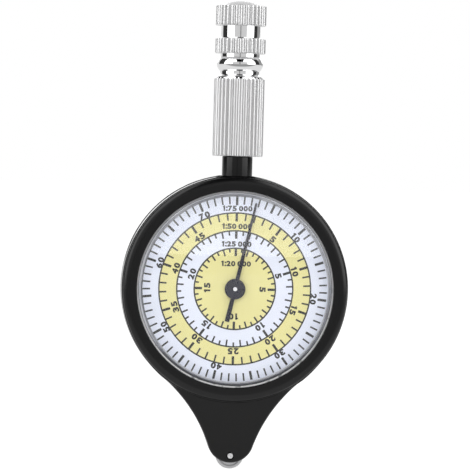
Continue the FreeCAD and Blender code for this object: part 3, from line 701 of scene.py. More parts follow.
@dataclass(frozen=True)
class Lettering:
    """Figures of even width, flat on a dial. The shares are of a figure's height."""

    height: float
    film: float
    digit_advance: float = 0.86
    gap_advance: float = 0.32
    digit_width: float = 0.8
    stroke: float = 0.28
    weight: float = 0.05
    flag_rise: float = 0.9
    flag_length: float = 0.33
    flag_narrowing: float = 0.85
    flag_angle: float = 122.0
    dot_rise: float = 0.55
    curve_steps: int = 3

    def advance(self, mark: str) -> float:
        """How much room a mark takes, in millimetres."""
        return self.height * (self.digit_advance if mark.isdigit() else self.gap_advance)

    def add(self, mesh: bmesh.types.BMesh, text: str, place: Matrix) -> None:
        """Adds a text with its middle at a place.

        Args:
            mesh: the mesh to add to.
            text: digits, colons and blanks.
            place: where its middle goes.
        """
        start = -sum(self.advance(mark) for mark in text) / 2
        for mark in text:
            step = self.advance(mark)
            here = place @ Matrix.Translation((start + step / 2, -self.height / 2, 0))
            start += step
            if mark == "1":
                self.add_one(mesh, here)
            elif mark == ":":
                self.add_colon(mesh, here)
            elif mark.isdigit():
                self.add_digit(mesh, mark, here)

    def add_one(self, mesh: bmesh.types.BMesh, here: Matrix) -> None:
        """Adds a one: an upright stroke with a short flag.

        Args:
            mesh: the mesh to add to.
            here: the middle of its foot.
        """
        wide = self.stroke * self.height
        foot = here @ Matrix.Translation((wide / 2, 0, 0))
        add_bar(mesh, self.height, wide, self.film, foot)
        lean = Matrix.Rotation(math.radians(self.flag_angle), 4, "Z")
        flag = foot @ Matrix.Translation((0, self.height * self.flag_rise, 0)) @ lean
        length, narrow = self.height * self.flag_length, wide * self.flag_narrowing
        add_bar(mesh, length, narrow, self.film, flag)

    def add_colon(self, mesh: bmesh.types.BMesh, here: Matrix) -> None:
        """Adds the two dots of a colon.

        Args:
            mesh: the mesh to add to.
            here: the middle of its foot.
        """
        wide = self.stroke * self.height
        for rise in (0.0, self.dot_rise * self.height):
            add_bar(mesh, wide, wide, self.film, here @ Matrix.Translation((0, rise, 0)))

    def add_digit(self, mesh: bmesh.types.BMesh, mark: str, here: Matrix) -> None:
        """Adds a digit of the built-in font, fitted to the height and width.

        Args:
            mesh: the mesh to add to.
            mark: the digit.
            here: the middle of its foot.
        """
        curve = bpy.data.curves.new("figure", "FONT")
        curve.body = mark
        curve.resolution_u = self.curve_steps
        curve.offset = self.weight
        curve.extrude = 0.5
        holder = bpy.data.objects.new("figure", curve)
        shape = bpy.data.meshes.new_from_object(holder)
        bpy.data.objects.remove(holder)
        bpy.data.curves.remove(curve)
        low = Vector(min(point.co[axis] for point in shape.vertices) for axis in range(2))
        high = Vector(max(point.co[axis] for point in shape.vertices) for axis in range(2))
        size, middle = high - low, (low + high) / 2
        wide, tall = self.digit_width * self.height / size.x, self.height / size.y
        fit = Matrix.Diagonal((wide, tall, self.film, 1)) @ Matrix.Translation((-middle.x, -low.y, 0))
        shape.transform(here @ fit)
        mesh.from_mesh(shape)
        bpy.data.meshes.remove(shape)


@dataclass(frozen=True)
class Piece:
    """How a finished mesh goes into the scene."""

    name: str
    body: str
    slot: str
    finishes: tuple[Finish, ...]
    stands_for: tuple[str, ...] = ()
    smooth_angle: float = 32.0


def add_object(name: str, data: bpy.types.ID) -> bpy.types.Object:
    """Puts a mesh, a light or a camera into the scene."""
    made = bpy.data.objects.new(name, data)
    bpy.context.scene.collection.objects.link(made)
    return made


def publish(mesh: bmesh.types.BMesh, piece: Piece, place: Matrix) -> bpy.types.Object:
    """Puts a mesh into the scene as a piece.

    Args:
        mesh: the mesh in millimetres, which is freed.
        piece: its name, body, slot and finishes.
        place: the matrix that puts it in the frame.

    Returns:
        The new object, at the origin, with its place in its mesh.
    """
    bmesh.ops.transform(mesh, matrix=place, verts=mesh.verts)
    data = bpy.data.meshes.new(piece.name)
    mesh.to_mesh(data)
    mesh.free()
    data.shade_smooth()
    data.set_sharp_from_angle(angle=math.radians(piece.smooth_angle))
    made = add_object(piece.name, data)
    weights = made.modifiers.new("even_shading", "WEIGHTED_NORMAL")
    weights.keep_sharp = True
    for finish in piece.finishes:
        data.materials.append(finish.material())
    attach(made, piece.body)
    if piece.stands_for:
        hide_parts(*piece.stands_for)
    LOG.info("%s: %d faces on %s", piece.name, len(data.polygons), piece.body)
    return made


# Sub-assemblies


@dataclass
class Case:
    """The two moulded halves and the rings and lenses on them, in millimetres."""

    side: Side
    seam_round: float = 0.14
    draft: float = 0.21
    draft_power: float = 3.0
    draft_depth: float = 0.8
    draft_clear: float = 4.0
    draft_start_share: float = 0.78
    draft_fade_share: float = 0.12
    draft_rows: tuple[float, ...] = (0.2, 0.4, 0.55, 0.68, 0.8, 0.9)
    bezel_width: float = 3.1
    bezel_edge_width: float = 1.5
    bezel_edge_height: float = 0.88
    bezel_edge_steps: int = 10
    bezel_inner_round: float = 0.14
    bezel_skirt: float = 0.4
    bezel_skirt_gap: float = 0.05
    bezel_skirt_wall: float = 0.5
    bezel_foot_chamfer: float = 0.2
    lens_bevel_width: float = 1.3
    lens_rim_thickness: float = 0.5
    lens_thickness: float = 0.95
    lens_gap: float = 0.03
    lens_edge_round: float = 0.03
    lens_lip_width: float = 0.32
    lens_lip_height: float = 0.46
    bevel_slope: tuple[float, float] = (0.2, 0.99)
    # where the lens lip's painted highlight fades to painted shade, as shares of the window's radius
    ground_span_shares: tuple[float, float] = (-0.6, 0.2)
    # painted rings of reflection and shade on the lens bevel: shares across the bevel and how light each
    # is, above, below and at the left
    upper_tones: tuple[tuple[float, float], ...] = (
        (0.0, 0.85), (0.12, 0.55), (0.2, 0.08), (0.3, 0.5), (0.48, 0.45), (0.56, 0.2), (0.64, 1.0),
        (0.8, 1.0), (0.9, 0.25), (1.0, 0.35),
    )
    lower_tones: tuple[tuple[float, float], ...] = (
        (0.0, 0.9), (0.2, 0.75), (0.36, 0.3), (0.5, 0.12), (0.62, 0.03), (0.8, 0.05), (1.0, 0.03),
    )
    left_tones: tuple[tuple[float, float], ...] = (
        (0.0, 0.7), (0.14, 0.1), (0.32, 0.2), (0.55, 0.9), (0.66, 1.0), (0.82, 1.0), (0.92, 0.1),
        (1.0, 0.25),
    )
    case_face: float = field(init=False)
    bezel_face: float = field(init=False)
    height: float = field(init=False)

    def __post_init__(self) -> None:
        """Takes the levels and radii from the frame."""
        self.height = cad_middle(f"{self.side.value}_dial")
        self.case_face = self.outermost("shell")
        self.bezel_face = self.outermost("bezel")

    def outermost(self, part: str) -> float:
        """How far out of the middle plane a part of this side reaches."""
        return max(abs(place) for place in cad_span(f"{self.side.value}_{part}", 1))

    @property
    def bezel_opening(self) -> float:
        """The radius of the hole in the bezel."""
        return cad_radius(f"{self.side.value}_bezel") - self.bezel_width

    def build(self) -> None:
        """Makes this side's shell, bezel and lens."""
        self.build_shell()
        self.build_bezel()
        self.build_lens()

    def build_shell(self) -> None:
        """Merges the CAD half, eases its edge at the seam and smooths its rounded corners."""
        node = f"{self.side.value}_shell"
        mesh = bmesh.new()
        mesh.from_mesh(frame["nodes"][node].data)
        bmesh.ops.scale(mesh, vec=(1 / MM,) * 3, verts=mesh.verts)
        bmesh.ops.remove_doubles(mesh, verts=mesh.verts, dist=MERGE)
        self.add_draft(mesh)
        seam = [edge for edge in mesh.edges if self.is_outer_seam(edge)]
        ease(mesh, seam, self.seam_round, 2)
        bmesh.ops.triangulate(mesh, faces=[face for face in mesh.faces if len(face.verts) > 4])
        piece = Piece(f"{node}_moulding", "case", "case_black", (CASE_BLACK,), (node,))
        publish(mesh, piece, UPRIGHT)

    def add_draft(self, mesh: bmesh.types.BMesh) -> None:
        """Draws the drum's wall in towards the face, as a moulding is, and fades it at the foot.

        Args:
            mesh: the merged shell, in millimetres.
        """
        outer = cad_radius(f"{self.side.value}_shell")
        facing = -1 if self.side is Side.FRONT else 1
        for share in self.draft_rows:
            bmesh.ops.bisect_plane(
                mesh, geom=[*mesh.verts, *mesh.edges, *mesh.faces], dist=MERGE,
                plane_co=(0, facing * share * self.case_face, 0), plane_no=(0, 1, 0),
            )
        for point in mesh.verts:
            across, up = point.co.x, point.co.z - self.height
            radius = math.hypot(across, up)
            if radius < outer - self.draft_depth or abs(across) < self.draft_clear and up > 0:
                continue
            above = up + self.draft_start_share * outer
            fade = min(max(above / (self.draft_fade_share * outer), 0.0), 1.0)
            inward = self.draft * fade * (abs(point.co.y) / self.case_face) ** self.draft_power
            factor = 1 - inward / radius
            point.co.x, point.co.z = across * factor, self.height + up * factor

    def is_outer_seam(self, edge: bmesh.types.BMEdge) -> bool:
        """True for an edge of the outline along which the two halves meet.

        Args:
            edge: an edge of the merged shell.

        Returns:
            Whether it lies in the middle plane and its other face looks away from the middle.
        """
        if any(abs(point.co.y) > TOUCH for point in edge.verts) or len(edge.link_faces) != 2:
            return False
        middle = (edge.verts[0].co + edge.verts[1].co) / 2
        walls = [face.normal for face in edge.link_faces if abs(face.normal.y) < 0.5]
        return len(walls) == 1 and walls[0].x * middle.x > TOUCH

    def build_bezel(self) -> None:
        """Turns the black ring: a flat face, a round outer edge and a skirt behind."""
        node = f"{self.side.value}_bezel"
        outer, opening, face = cad_radius(node), self.bezel_opening, self.bezel_face
        skirt_in = cad_radius(f"{self.side.value}_lens") + self.bezel_skirt_gap
        skirt_out = skirt_in + self.bezel_skirt_wall
        corners = [
            Corner(opening, self.case_face),
            Corner(skirt_in, self.case_face),
            Corner(skirt_in, self.case_face - self.bezel_skirt),
            Corner(skirt_out, self.case_face - self.bezel_skirt),
            Corner(skirt_out, self.case_face),
            Corner(outer, self.case_face, self.bezel_foot_chamfer, 2),
            *self.bezel_edge(outer, face),
            Corner(opening, face, self.bezel_inner_round, 3),
        ]
        piece = Piece(f"{node}_ring", "case", "bezel_black", (BEZEL_BLACK,), (node,))
        publish(turned(corners), piece, self.side.place(self.height))

    def bezel_edge(self, outer: float, face: float) -> list[Corner]:
        """The bezel's soft outer edge: a quarter of an ellipse.

        Args:
            outer: the bezel's outer radius.
            face: its face's level.

        Returns:
            The corners from the side to the face.
        """
        corners = []
        for step in range(self.bezel_edge_steps + 1):
            angle = math.pi / 2 * step / self.bezel_edge_steps
            radius = outer - self.bezel_edge_width * (1 - math.cos(angle))
            level = face - self.bezel_edge_height * (1 - math.sin(angle))
            corners.append(Corner(radius, level))
        return corners

    def build_lens(self) -> None:
        """Turns the clear lens: a rim under the bezel, a polished bevel with painted rings of reflection
        and shade, a lip with a painted highlight and a flat window.
        """
        node = f"{self.side.value}_lens"
        window = self.bezel_opening - self.lens_gap
        flat = self.bezel_opening - self.lens_bevel_width
        lip = window - self.lens_lip_width
        top = self.outermost("lens")
        low = self.case_face - self.lens_rim_thickness
        rim = cad_radius(node)
        corners = [
            Corner(0, top - self.lens_thickness),
            Corner(flat, top - self.lens_thickness, self.lens_edge_round, 2),
            Corner(window - self.lens_rim_thickness, low, self.lens_edge_round, 2),
            Corner(rim, low, self.lens_edge_round, 2),
            Corner(rim, self.case_face, self.lens_edge_round, 2),
            Corner(window, self.case_face),
            Corner(window, self.case_face + self.lens_lip_height),
            Corner(lip, self.case_face + self.lens_lip_height),
            Corner(flat, top, self.lens_edge_round, 2),
            Corner(0, top),
        ]
        mesh = turned(corners)
        # the bevel's sloped faces take the painted rings, the lip's other faces the painted highlight
        for face in mesh.faces:
            middle = face.calc_center_median()
            radius = math.hypot(middle.x, middle.y)
            sloped = self.bevel_slope[0] < face.normal.z < self.bevel_slope[1]
            if middle.z > self.case_face and radius > flat + TOUCH:
                face.material_index = 1 if sloped else 2
        upper, lower, left = (
            tuple(RingTone(flat + share * (lip - flat), tone) for share, tone in tones)
            for tones in (self.upper_tones, self.lower_tones, self.left_tones)
        )
        bevel = BevelledAcrylic(
            f"{node}_bevel_painted_rings", (1.0, 1.0, 1.0), centre_height=self.height * MM,
            upper_tones=upper, lower_tones=lower, left_tones=left,
        )
        # the lip's painted highlight fades to painted shade between these heights
        low, high = ((self.height + share * window) * MM for share in self.ground_span_shares)
        ground = GroundEdge(f"{node}_lip_painted_highlight", (1.0, 1.0, 1.0), low=low, high=high)
        finishes = (LENS_CLEAR, bevel, ground)
        piece = Piece(f"{node}_window", "case", "lens_clear", finishes, (node,), 20.0)
        publish(mesh, piece, self.side.place(self.height))


@dataclass(frozen=True)
class Scale:
    """One printed ring: how it is divided and numbered. Radii are millimetres."""

    label: str
    label_radius: float
    divisions: int
    tick_radius: float
    tick_length: float
    bold_every: int
    bold_length: float
    bold_width: float
    number_every: int
    number_step: int
    number_radius: float
    tick_width: float = 0.36
    half_every: int = 1
    half_length: float = 0.0

    def numbers(self) -> Iterable[tuple[int, float]]:
        """Each printed number with its share of the turn."""
        for index in range(self.number_every, self.divisions, self.number_every):
            yield index // self.number_every * self.number_step, index / self.divisions


FRONT_SCALES = (
    Scale("1:75 000", 18.0, 75, 20.72, 1.75, 5, 2.0, 0.54, 10, 10, 17.75),
    Scale("1:50 000", 14.0, 50, 17.0, 1.65, 5, 1.9, 0.54, 5, 5, 13.95),
    Scale("1:25 000", 10.05, 50, 13.0, 1.5, 10, 1.75, 0.54, 10, 5, 10.15, 0.36, 2, 1.0),
    Scale("1:20 000", 5.65, 40, 9.1, 1.45, 10, 1.75, 0.54, 10, 5, 6.2, 0.36, 2, 0.9),
)
REAR_SCALES = (
    Scale("1:100 000", 18.0, 100, 20.72, 1.75, 5, 2.0, 0.54, 10, 10, 17.75),
    Scale("1:40 000", 14.0, 40, 17.0, 1.65, 5, 1.9, 0.54, 5, 5, 13.95),
    Scale("1:30 000", 10.05, 60, 13.0, 1.5, 10, 1.75, 0.54, 10, 5, 10.15, 0.36, 2, 1.0),
    Scale("1:15 000", 5.65, 30, 9.1, 1.45, 10, 1.75, 0.54, 10, 5, 6.2, 0.36, 2, 0.9),
)


@dataclass
class Dial:
    """A printed dial: card with coloured rings, graduations and figures, in millimetres."""

    side: Side
    scales: tuple[Scale, ...]
    ring_radii: tuple[float, ...] = (9.1, 13.0, 17.0)
    ring_width: float = 0.32
    hole_radius: float = 0.6
    edge_round: float = 0.05
    film: float = 0.012
    figure_height: float = 1.42
    label_height: float = 1.21
    figure_advance: float = 0.94
    figure_weight: float = 0.055

    def build(self) -> None:
        """Makes the card, the lines on it and the figures."""
        name = f"{self.side.value}_dial"
        levels = [abs(place) for place in cad_span(name, 1)]
        self.level, self.back = max(levels), min(levels)
        self.place = self.side.place(cad_middle(name))
        self.build_card(name)
        self.build_lines(name)
        self.build_figures(name)

    def build_card(self, name: str) -> None:
        """Turns the card and paints its rings, from the middle: yellow, white, yellow, white.

        Args:
            name: the dial's CAD node.
        """
        face = [Corner(radius, self.level) for radius in reversed(self.ring_radii)]
        corners = [
            Corner(self.hole_radius, self.back),
            Corner(cad_radius(name), self.back),
            Corner(cad_radius(name), self.level, self.edge_round, 2),
            *face,
            Corner(self.hole_radius, self.level),
        ]
        mesh = turned(corners)
        for item in mesh.faces:
            middle = item.calc_center_median()
            ring = sum(math.hypot(middle.x, middle.y) > radius for radius in self.ring_radii)
            item.material_index = 1 if ring % 2 == 0 and item.normal.z > 0.5 else 0
        piece = Piece(f"{name}_card", "case", "dial_print", (CARD_WHITE, CARD_YELLOW), (name,))
        publish(mesh, piece, self.place)

    def build_lines(self, name: str) -> None:
        """Draws the circles and every tick as a thin film on the card.

        Args:
            name: the dial's CAD node.
        """
        mesh = bmesh.new()
        for radius in self.ring_radii:
            half, top = self.ring_width / 2, self.level + self.film
            ring = turned([
                Corner(radius - half, self.level), Corner(radius + half, self.level),
                Corner(radius + half, top), Corner(radius - half, top),
            ])
            spare = bpy.data.meshes.new("circle")
            ring.to_mesh(spare)
            ring.free()
            mesh.from_mesh(spare)
            bpy.data.meshes.remove(spare)
        for scale in self.scales:
            for index in range(scale.divisions):
                self.add_tick(mesh, scale, index)
        bmesh.ops.recalc_face_normals(mesh, faces=mesh.faces)
        publish(mesh, Piece(f"{name}_graduations", "case", "dial_print", (INK,)), self.place)

    def add_tick(self, mesh: bmesh.types.BMesh, scale: Scale, index: int) -> None:
        """Adds one tick, which runs inwards from its scale's outer radius.

        Args:
            mesh: the mesh to add to.
            scale: the scale that it belongs to.
            index: which tick, counted from the top.
        """
        length, width = scale.tick_length, scale.tick_width
        if scale.half_every > 1 and index % scale.half_every:
            length = scale.half_length
        if index % scale.bold_every == 0:
            length, width = scale.bold_length, scale.bold_width
        turn = Matrix.Rotation(-self.side.clockwise * FULL_TURN * index / scale.divisions, 4, "Z")
        inner = Matrix.Translation((0, scale.tick_radius - length, self.level + self.film / 2))
        add_bar(mesh, length, width, self.film, turn @ inner)

    def build_figures(self, name: str) -> None:
        """Sets the numbers along each scale, tops outwards, and the level labels above.

        Args:
            name: the dial's CAD node.
        """
        mesh = bmesh.new()
        raised = Matrix.Translation((0, 0, self.level + self.film / 2))
        figures = Lettering(
            self.figure_height, self.film, digit_advance=self.figure_advance,
            weight=self.figure_weight,
        )
        labels = Lettering(self.label_height, self.film)
        for scale in self.scales:
            labels.add(mesh, scale.label, raised @ Matrix.Translation((0, scale.label_radius, 0)))
            for number, share in scale.numbers():
                turn = Matrix.Rotation(-self.side.clockwise * FULL_TURN * share, 4, "Z")
                out = Matrix.Translation((0, scale.number_radius, 0))
                figures.add(mesh, str(number), raised @ turn @ out)
        bmesh.ops.remove_doubles(mesh, verts=mesh.verts, dist=MERGE)
        publish(mesh, Piece(f"{name}_figures", "case", "dial_print", (INK,)), self.place)


@dataclass
class Hand:
    """A pointer with its hub, in millimetres."""

    side: Side
    length: float = 19.75
    tail: float = 7.5
    root_width: float = 0.9
    tip_width: float = 0.45
    tail_width: float = 1.05
    boss_radius: float = 1.8
    rest_angle: float = 12.5
    edge_round: float = 0.05
    spigot_radius: float = 1.0
    bore: float = 0.45
    hub_round: float = 0.12
    boss_steps: int = 64
    hub_steps: int = 96
    rim_angle: float = 60.0

    def __post_init__(self) -> None:
        """Takes the place of the dial's axis from the frame."""
        self.place = self.side.place(cad_middle(f"{self.side.value}_dial"))

    def build(self) -> None:
        """Makes the hand and its hub."""
        self.build_hand()
        self.build_hub()

    def build_hand(self) -> None:
        """Extrudes the tapered hand with its round boss and eases its edges."""
        node = f"{self.side.value}_pointer"
        levels = sorted(abs(place) for place in cad_span(node, 1))
        mesh = bmesh.new()
        bmesh.ops.create_circle(mesh, cap_ends=True, radius=self.boss_radius, segments=self.boss_steps)
        for tip, width in ((self.length, self.tip_width), (-self.tail, self.tail_width)):
            self.draw_out(mesh, tip, width)
        flat = list(mesh.faces)
        raised = bmesh.ops.extrude_face_region(mesh, geom=flat)
        top = [item for item in raised["geom"] if isinstance(item, bmesh.types.BMVert)]
        bmesh.ops.translate(mesh, vec=(0, 0, levels[1] - levels[0]), verts=top)
        bmesh.ops.recalc_face_normals(mesh, faces=mesh.faces)
        rims = [
            edge for edge in mesh.edges
            if len(edge.link_faces) == 2 and edge.calc_face_angle() > math.radians(self.rim_angle)
            and abs(edge.verts[0].co.z - edge.verts[1].co.z) < TOUCH
        ]
        ease(mesh, rims, self.edge_round, 2)
        angle = math.radians(self.rest_angle) * self.side.clockwise
        turn = Matrix.Rotation(-angle, 4, "Z") @ Matrix.Translation((0, 0, levels[0]))
        piece = Piece(f"{node}_hand", "pointers", "pointer_dark", (HAND_BLUED,), (node,))
        publish(mesh, piece, self.place @ turn)

    def draw_out(self, mesh: bmesh.types.BMesh, tip: float, width: float) -> None:
        """Draws the boss's edge nearest to an end out to that end.

        Args:
            mesh: the flat boss.
            tip: how far the end lies from the axis, below zero for the tail.
            width: the end's width.
        """
        half = self.root_width / 2
        root = math.copysign(math.sqrt(self.boss_radius ** 2 - half ** 2), tip)
        points = [
            mesh.verts.new((side * x, y, 0))
            for side, x, y in (
                (-1, half, root), (1, half, root), (1, width / 2, tip), (-1, width / 2, tip),
            )
        ]
        mesh.faces.new(points)

    def build_hub(self) -> None:
        """Turns the collet that grips the arbor."""
        node = f"{self.side.value}_pointer_hub"
        low, high = sorted(abs(place) for place in cad_span(node, 1))
        seat = max(abs(place) for place in cad_span(f"{self.side.value}_pointer", 1))
        radius = cad_radius(node)
        corners = [
            Corner(self.bore, low),
            Corner(self.spigot_radius, low),
            Corner(self.spigot_radius, seat),
            Corner(radius, seat),
            Corner(radius, high, self.hub_round, 3),
            Corner(self.bore, high, self.hub_round / 2, 2),
        ]
        piece = Piece(f"{node}_collet", "pointers", "pointer_dark", (HAND_BLUED,), (node,))
        publish(turned(corners, self.hub_steps), piece, self.place)


@dataclass
class Wheel:
    """The measuring wheel and the pin that it turns on, in millimetres."""

    hub_radius: float = 1.6
    bore: float = 0.68
    web_width: float = 1.0
    rim_depth: float = 0.75
    bevel: float = 0.3
    bore_round: float = 0.03
    rim_round: float = 0.05
    bevel_round: float = 0.04
    tread_width: float = 0.9
    notch_count: int = 60
    notch_depth: float = 0.04
    notch_steps: int = 4
    pin_dimple_radius: float = 0.4
    pin_dimple_depth: float = 0.2
    pin_dimple_round: float = 0.03
    pin_edge_round: float = 0.06
    pin_steps: int = 48

    def build(self) -> None:
        """Makes the wheel and its pin."""
        self.build_wheel()
        self.build_pin()

    def build_wheel(self) -> None:
        """Turns hub, web and rim, and notches the tread so that it grips the map."""
        node = "measuring_wheel"
        radius, half = cad_radius(node), max(abs(place) for place in cad_span(node, 1))
        web, tread, inner = self.web_width / 2, self.tread_width / 2, radius - self.rim_depth
        half_profile = [
            (self.bore, half, self.bore_round), (self.hub_radius, half, self.rim_round),
            (self.hub_radius, web, 0.0), (inner, web, 0.0), (inner, half, self.rim_round),
            (radius - self.bevel, half, self.bevel_round),
            (radius, tread, 0.0),
        ]
        corners = [Corner(r, level, ease, 2) for r, level, ease in half_profile]
        corners += [Corner(r, -level, ease, 2) for r, level, ease in reversed(half_profile)]
        mesh = turned(corners, self.notch_count * self.notch_steps)
        for point in mesh.verts:
            if math.hypot(point.co.x, point.co.y) > radius - TOUCH:
                turn = math.atan2(point.co.y, point.co.x) * self.notch_count
                dip = self.notch_depth / radius * (0.5 - 0.5 * math.cos(turn))
                point.co.x *= 1 - dip
                point.co.y *= 1 - dip
        piece = Piece("measuring_wheel_disc", "wheel", "wheel_metal", (WHEEL_METAL,), (node,))
        publish(mesh, piece, Side.FRONT.place(cad_middle(node)))

    def build_pin(self) -> None:
        """Turns the fixed pin with a centre dimple in each end."""
        node = "wheel_axle"
        radius, end = cad_radius(node), max(abs(place) for place in cad_span(node, 1))
        corners = [
            Corner(0, self.pin_dimple_depth - end),
            Corner(self.pin_dimple_radius, -end, self.pin_dimple_round, 2),
            Corner(radius, -end, self.pin_edge_round, 3),
            Corner(radius, end, self.pin_edge_round, 3),
            Corner(self.pin_dimple_radius, end, self.pin_dimple_round, 2),
            Corner(0, end - self.pin_dimple_depth),
        ]
        piece = Piece("wheel_axle_pin", "case", "pin_steel", (PIN_STEEL,), (node,))
        publish(turned(corners, self.pin_steps), piece, Side.FRONT.place(cad_middle(node)))


@dataclass
class Handle:
    """The black stem and the turned aluminium barrel and cap, in millimetres."""

    stem_radius: float = 3.4
    stem_edge_round: float = 0.25
    stem_foot_round: float = 0.05
    stem_steps: int = 128
    end_round: float = 0.1
    stem_spigot_radius: float = 1.6
    stem_spigot_length: float = 3.5
    stem_stud_length: float = 5.6
    edge: float = 0.22
    edge_share: float = 0.3
    stud_inset: float = 0.9
    knurl_length: float = 17.35
    shoulder_height: float = 0.7
    neck_inset: float = 1.3
    ring_drop: float = 0.25
    lower_neck_length: float = 0.95
    bead_length: float = 3.2
    bead_inset: float = 0.54
    ring_length: float = 3.3
    cap_neck_length: float = 2.94
    cap_length: float = 4.46
    cap_spigot_radius: float = 2.2
    cap_spigot_length: float = 4.0
    dome_inset: float = 0.85
    dome_shares: tuple[float, ...] = (1, 0.83, 0.66, 0.5, 0.33, 0.16, 0)
    bore_margin: float = 0.6
    row_gap: float = 0.12
    fillet: float = 0.35
    fillet_steps: int = 4
    ridge_count: int = 30
    ridge_steps: int = 10
    groove_depth: float = 0.32
    groove_power: float = 2.2
    bead_steps: int = 14

    def __post_init__(self) -> None:
        """Takes the heights and the outer radius from the frame."""
        self.bottom, top = cad_span("handle_barrel", 2)
        self.ring_top = top - self.ring_drop
        self.radius = cad_radius("handle_barrel")
        self.stud_radius = self.stem_radius - self.stud_inset

    def build(self) -> None:
        """Makes the stem, the barrel and the cap."""
        self.build_stem()
        self.build_barrel()
        self.build_cap()

    def build_stem(self) -> None:
        """Turns the glossy stem with its spigot and stud."""
        low, high = cad_span("neck_stem", 2)
        seat = low + self.stem_spigot_length
        corners = [
            Corner(0, low),
            Corner(self.stem_spigot_radius, low, self.end_round, 2),
            Corner(self.stem_spigot_radius, seat),
            Corner(self.stem_radius, seat, self.stem_foot_round, 2),
            Corner(self.stem_radius, self.bottom, self.stem_edge_round, 4),
            Corner(self.stud_radius, self.bottom),
            Corner(self.stud_radius, high, self.end_round, 2),
            Corner(0, high),
        ]
        piece = Piece("neck_stem_rod", "case", "stem_black", (STEM_BLACK,), ("neck_stem",))
        publish(turned(corners, self.stem_steps), piece, UPRIGHT)

    def curve(self, start: tuple[float, float], end: tuple[float, float],
              hollow: bool) -> list[Corner]:
        """A quarter of an ellipse from one corner to the next.

        Args:
            start: the radius and level where it starts, at the end that is farther down.
            end: where it ends, nearer the axis.
            hollow: whether it is a fillet, and not a round shoulder.

        Returns:
            The corners, ends included.
        """
        corners = []
        for step in range(self.fillet_steps + 1):
            angle = math.pi / 2 * step / self.fillet_steps
            across, up = math.sin(angle), 1 - math.cos(angle)
            if not hollow:
                across, up = up, across
            radius = start[0] + (end[0] - start[0]) * across
            corners.append(Corner(radius, start[1] + (end[1] - start[1]) * up))
        return corners

    def bead(self, low: float) -> list[Corner]:
        """The round bead between the two necks, as an arc from one neck to the other.

        Args:
            low: where the bead starts.

        Returns:
            The arc's corners, ends included.
        """
        neck, rise = self.radius - self.neck_inset, self.neck_inset - self.bead_inset
        arc = (self.bead_length ** 2 / 4 + rise ** 2) / (2 * rise)
        half_angle = math.asin(self.bead_length / 2 / arc)
        corners = []
        for step in range(self.bead_steps + 1):
            angle = half_angle * (2 * step / self.bead_steps - 1)
            radius = neck + rise - arc * (1 - math.cos(angle))
            corners.append(Corner(radius, low + self.bead_length / 2 + arc * math.sin(angle)))
        return corners

    def knurl(self, mesh: bmesh.types.BMesh, zones: Sequence[tuple[float, float]]) -> None:
        """Presses straight grooves into the parts of a turned mesh that lie in the zones.

        Args:
            mesh: the turned mesh.
            zones: the lowest and highest level of each knurled part.
        """
        for point in mesh.verts:
            radius = math.hypot(point.co.x, point.co.y)
            inside = any(low - TOUCH < point.co.z < high + TOUCH for low, high in zones)
            if inside and radius > self.radius - self.groove_depth:
                place = math.atan2(point.co.y, point.co.x) / FULL_TURN * self.ridge_count
                across = abs((place % 1) * 2 - 1)
                ridge = self.radius - self.groove_depth * across ** self.groove_power
                factor = min(ridge, radius) / radius
                point.co.x *= factor
                point.co.y *= factor

    def knurled(self, low: float, high: float) -> list[Corner]:
        """The outline of a knurled part, with eased ends and rows of points between them.

        Args:
            low: its lowest level.
            high: its highest level.

        Returns:
            The corners from low to high.
        """
        near, cut = self.edge * self.edge_share, self.edge
        start, end = low + cut, high - cut
        outline = [
            (self.radius - cut, low), (self.radius - near, low + near),
            *((self.radius, row) for row in (start, start + self.row_gap, end - self.row_gap, end)),
            (self.radius - near, high - near), (self.radius - cut, high),
        ]
        return [Corner(radius, level) for radius, level in outline]

    def paint(self, mesh: bmesh.types.BMesh, zones: Sequence[tuple[float, float]]) -> None:
        """Gives the knurled faces the second finish.

        Args:
            mesh: the knurled mesh.
            zones: the lowest and highest level of each knurled part.
        """
        for face in mesh.faces:
            middle = face.calc_center_median()
            outside = math.hypot(middle.x, middle.y) > self.radius - self.neck_inset
            inside = any(low < middle.z < high for low, high in zones)
            face.material_index = 1 if inside and outside else 0

    def pressed(self, corners: Sequence[Corner],
                zones: Sequence[tuple[float, float]]) -> bmesh.types.BMesh:
        """Turns an outline and knurls it.

        Args:
            corners: the outline.
            zones: the lowest and highest level of each knurled part.

        Returns:
            The mesh, with the second finish on its knurled faces.
        """
        mesh = turned(corners, self.ridge_count * self.ridge_steps)
        self.knurl(mesh, zones)
        self.paint(mesh, zones)
        return mesh

    def build_barrel(self) -> None:
        """Turns the barrel with its bead and short ring, and knurls it."""
        neck = self.radius - self.neck_inset
        barrel_top = self.bottom + self.knurl_length
        neck_low = barrel_top + self.shoulder_height
        bead_low = neck_low + self.lower_neck_length
        ring_low = self.ring_top - self.ring_length
        bore_top = self.bottom + self.stem_stud_length + self.bore_margin
        socket = self.ring_top - self.cap_spigot_length - self.bore_margin
        corners = [
            Corner(self.stud_radius, self.bottom),
            *self.knurled(self.bottom, barrel_top),
            *self.curve((self.radius - self.edge, barrel_top), (neck + self.fillet, neck_low), False)[1:],
            *self.curve((neck + self.fillet, neck_low), (neck, neck_low + self.fillet), True)[1:],
            *self.bead(bead_low),
            Corner(neck, ring_low),
            *self.knurled(ring_low, self.ring_top),
            Corner(self.cap_spigot_radius, self.ring_top),
            Corner(self.cap_spigot_radius, socket),
            Corner(0, socket),
            Corner(0, bore_top),
            Corner(self.stud_radius, bore_top),
        ]
        mesh = self.pressed(corners, [(self.bottom, barrel_top), (ring_low, self.ring_top)])
        finishes = (HANDLE_SMOOTH, HANDLE_KNURLED)
        piece = Piece("handle_barrel_turned", "case", "handle_aluminium", finishes, ("handle_barrel",))
        publish(mesh, piece, UPRIGHT)

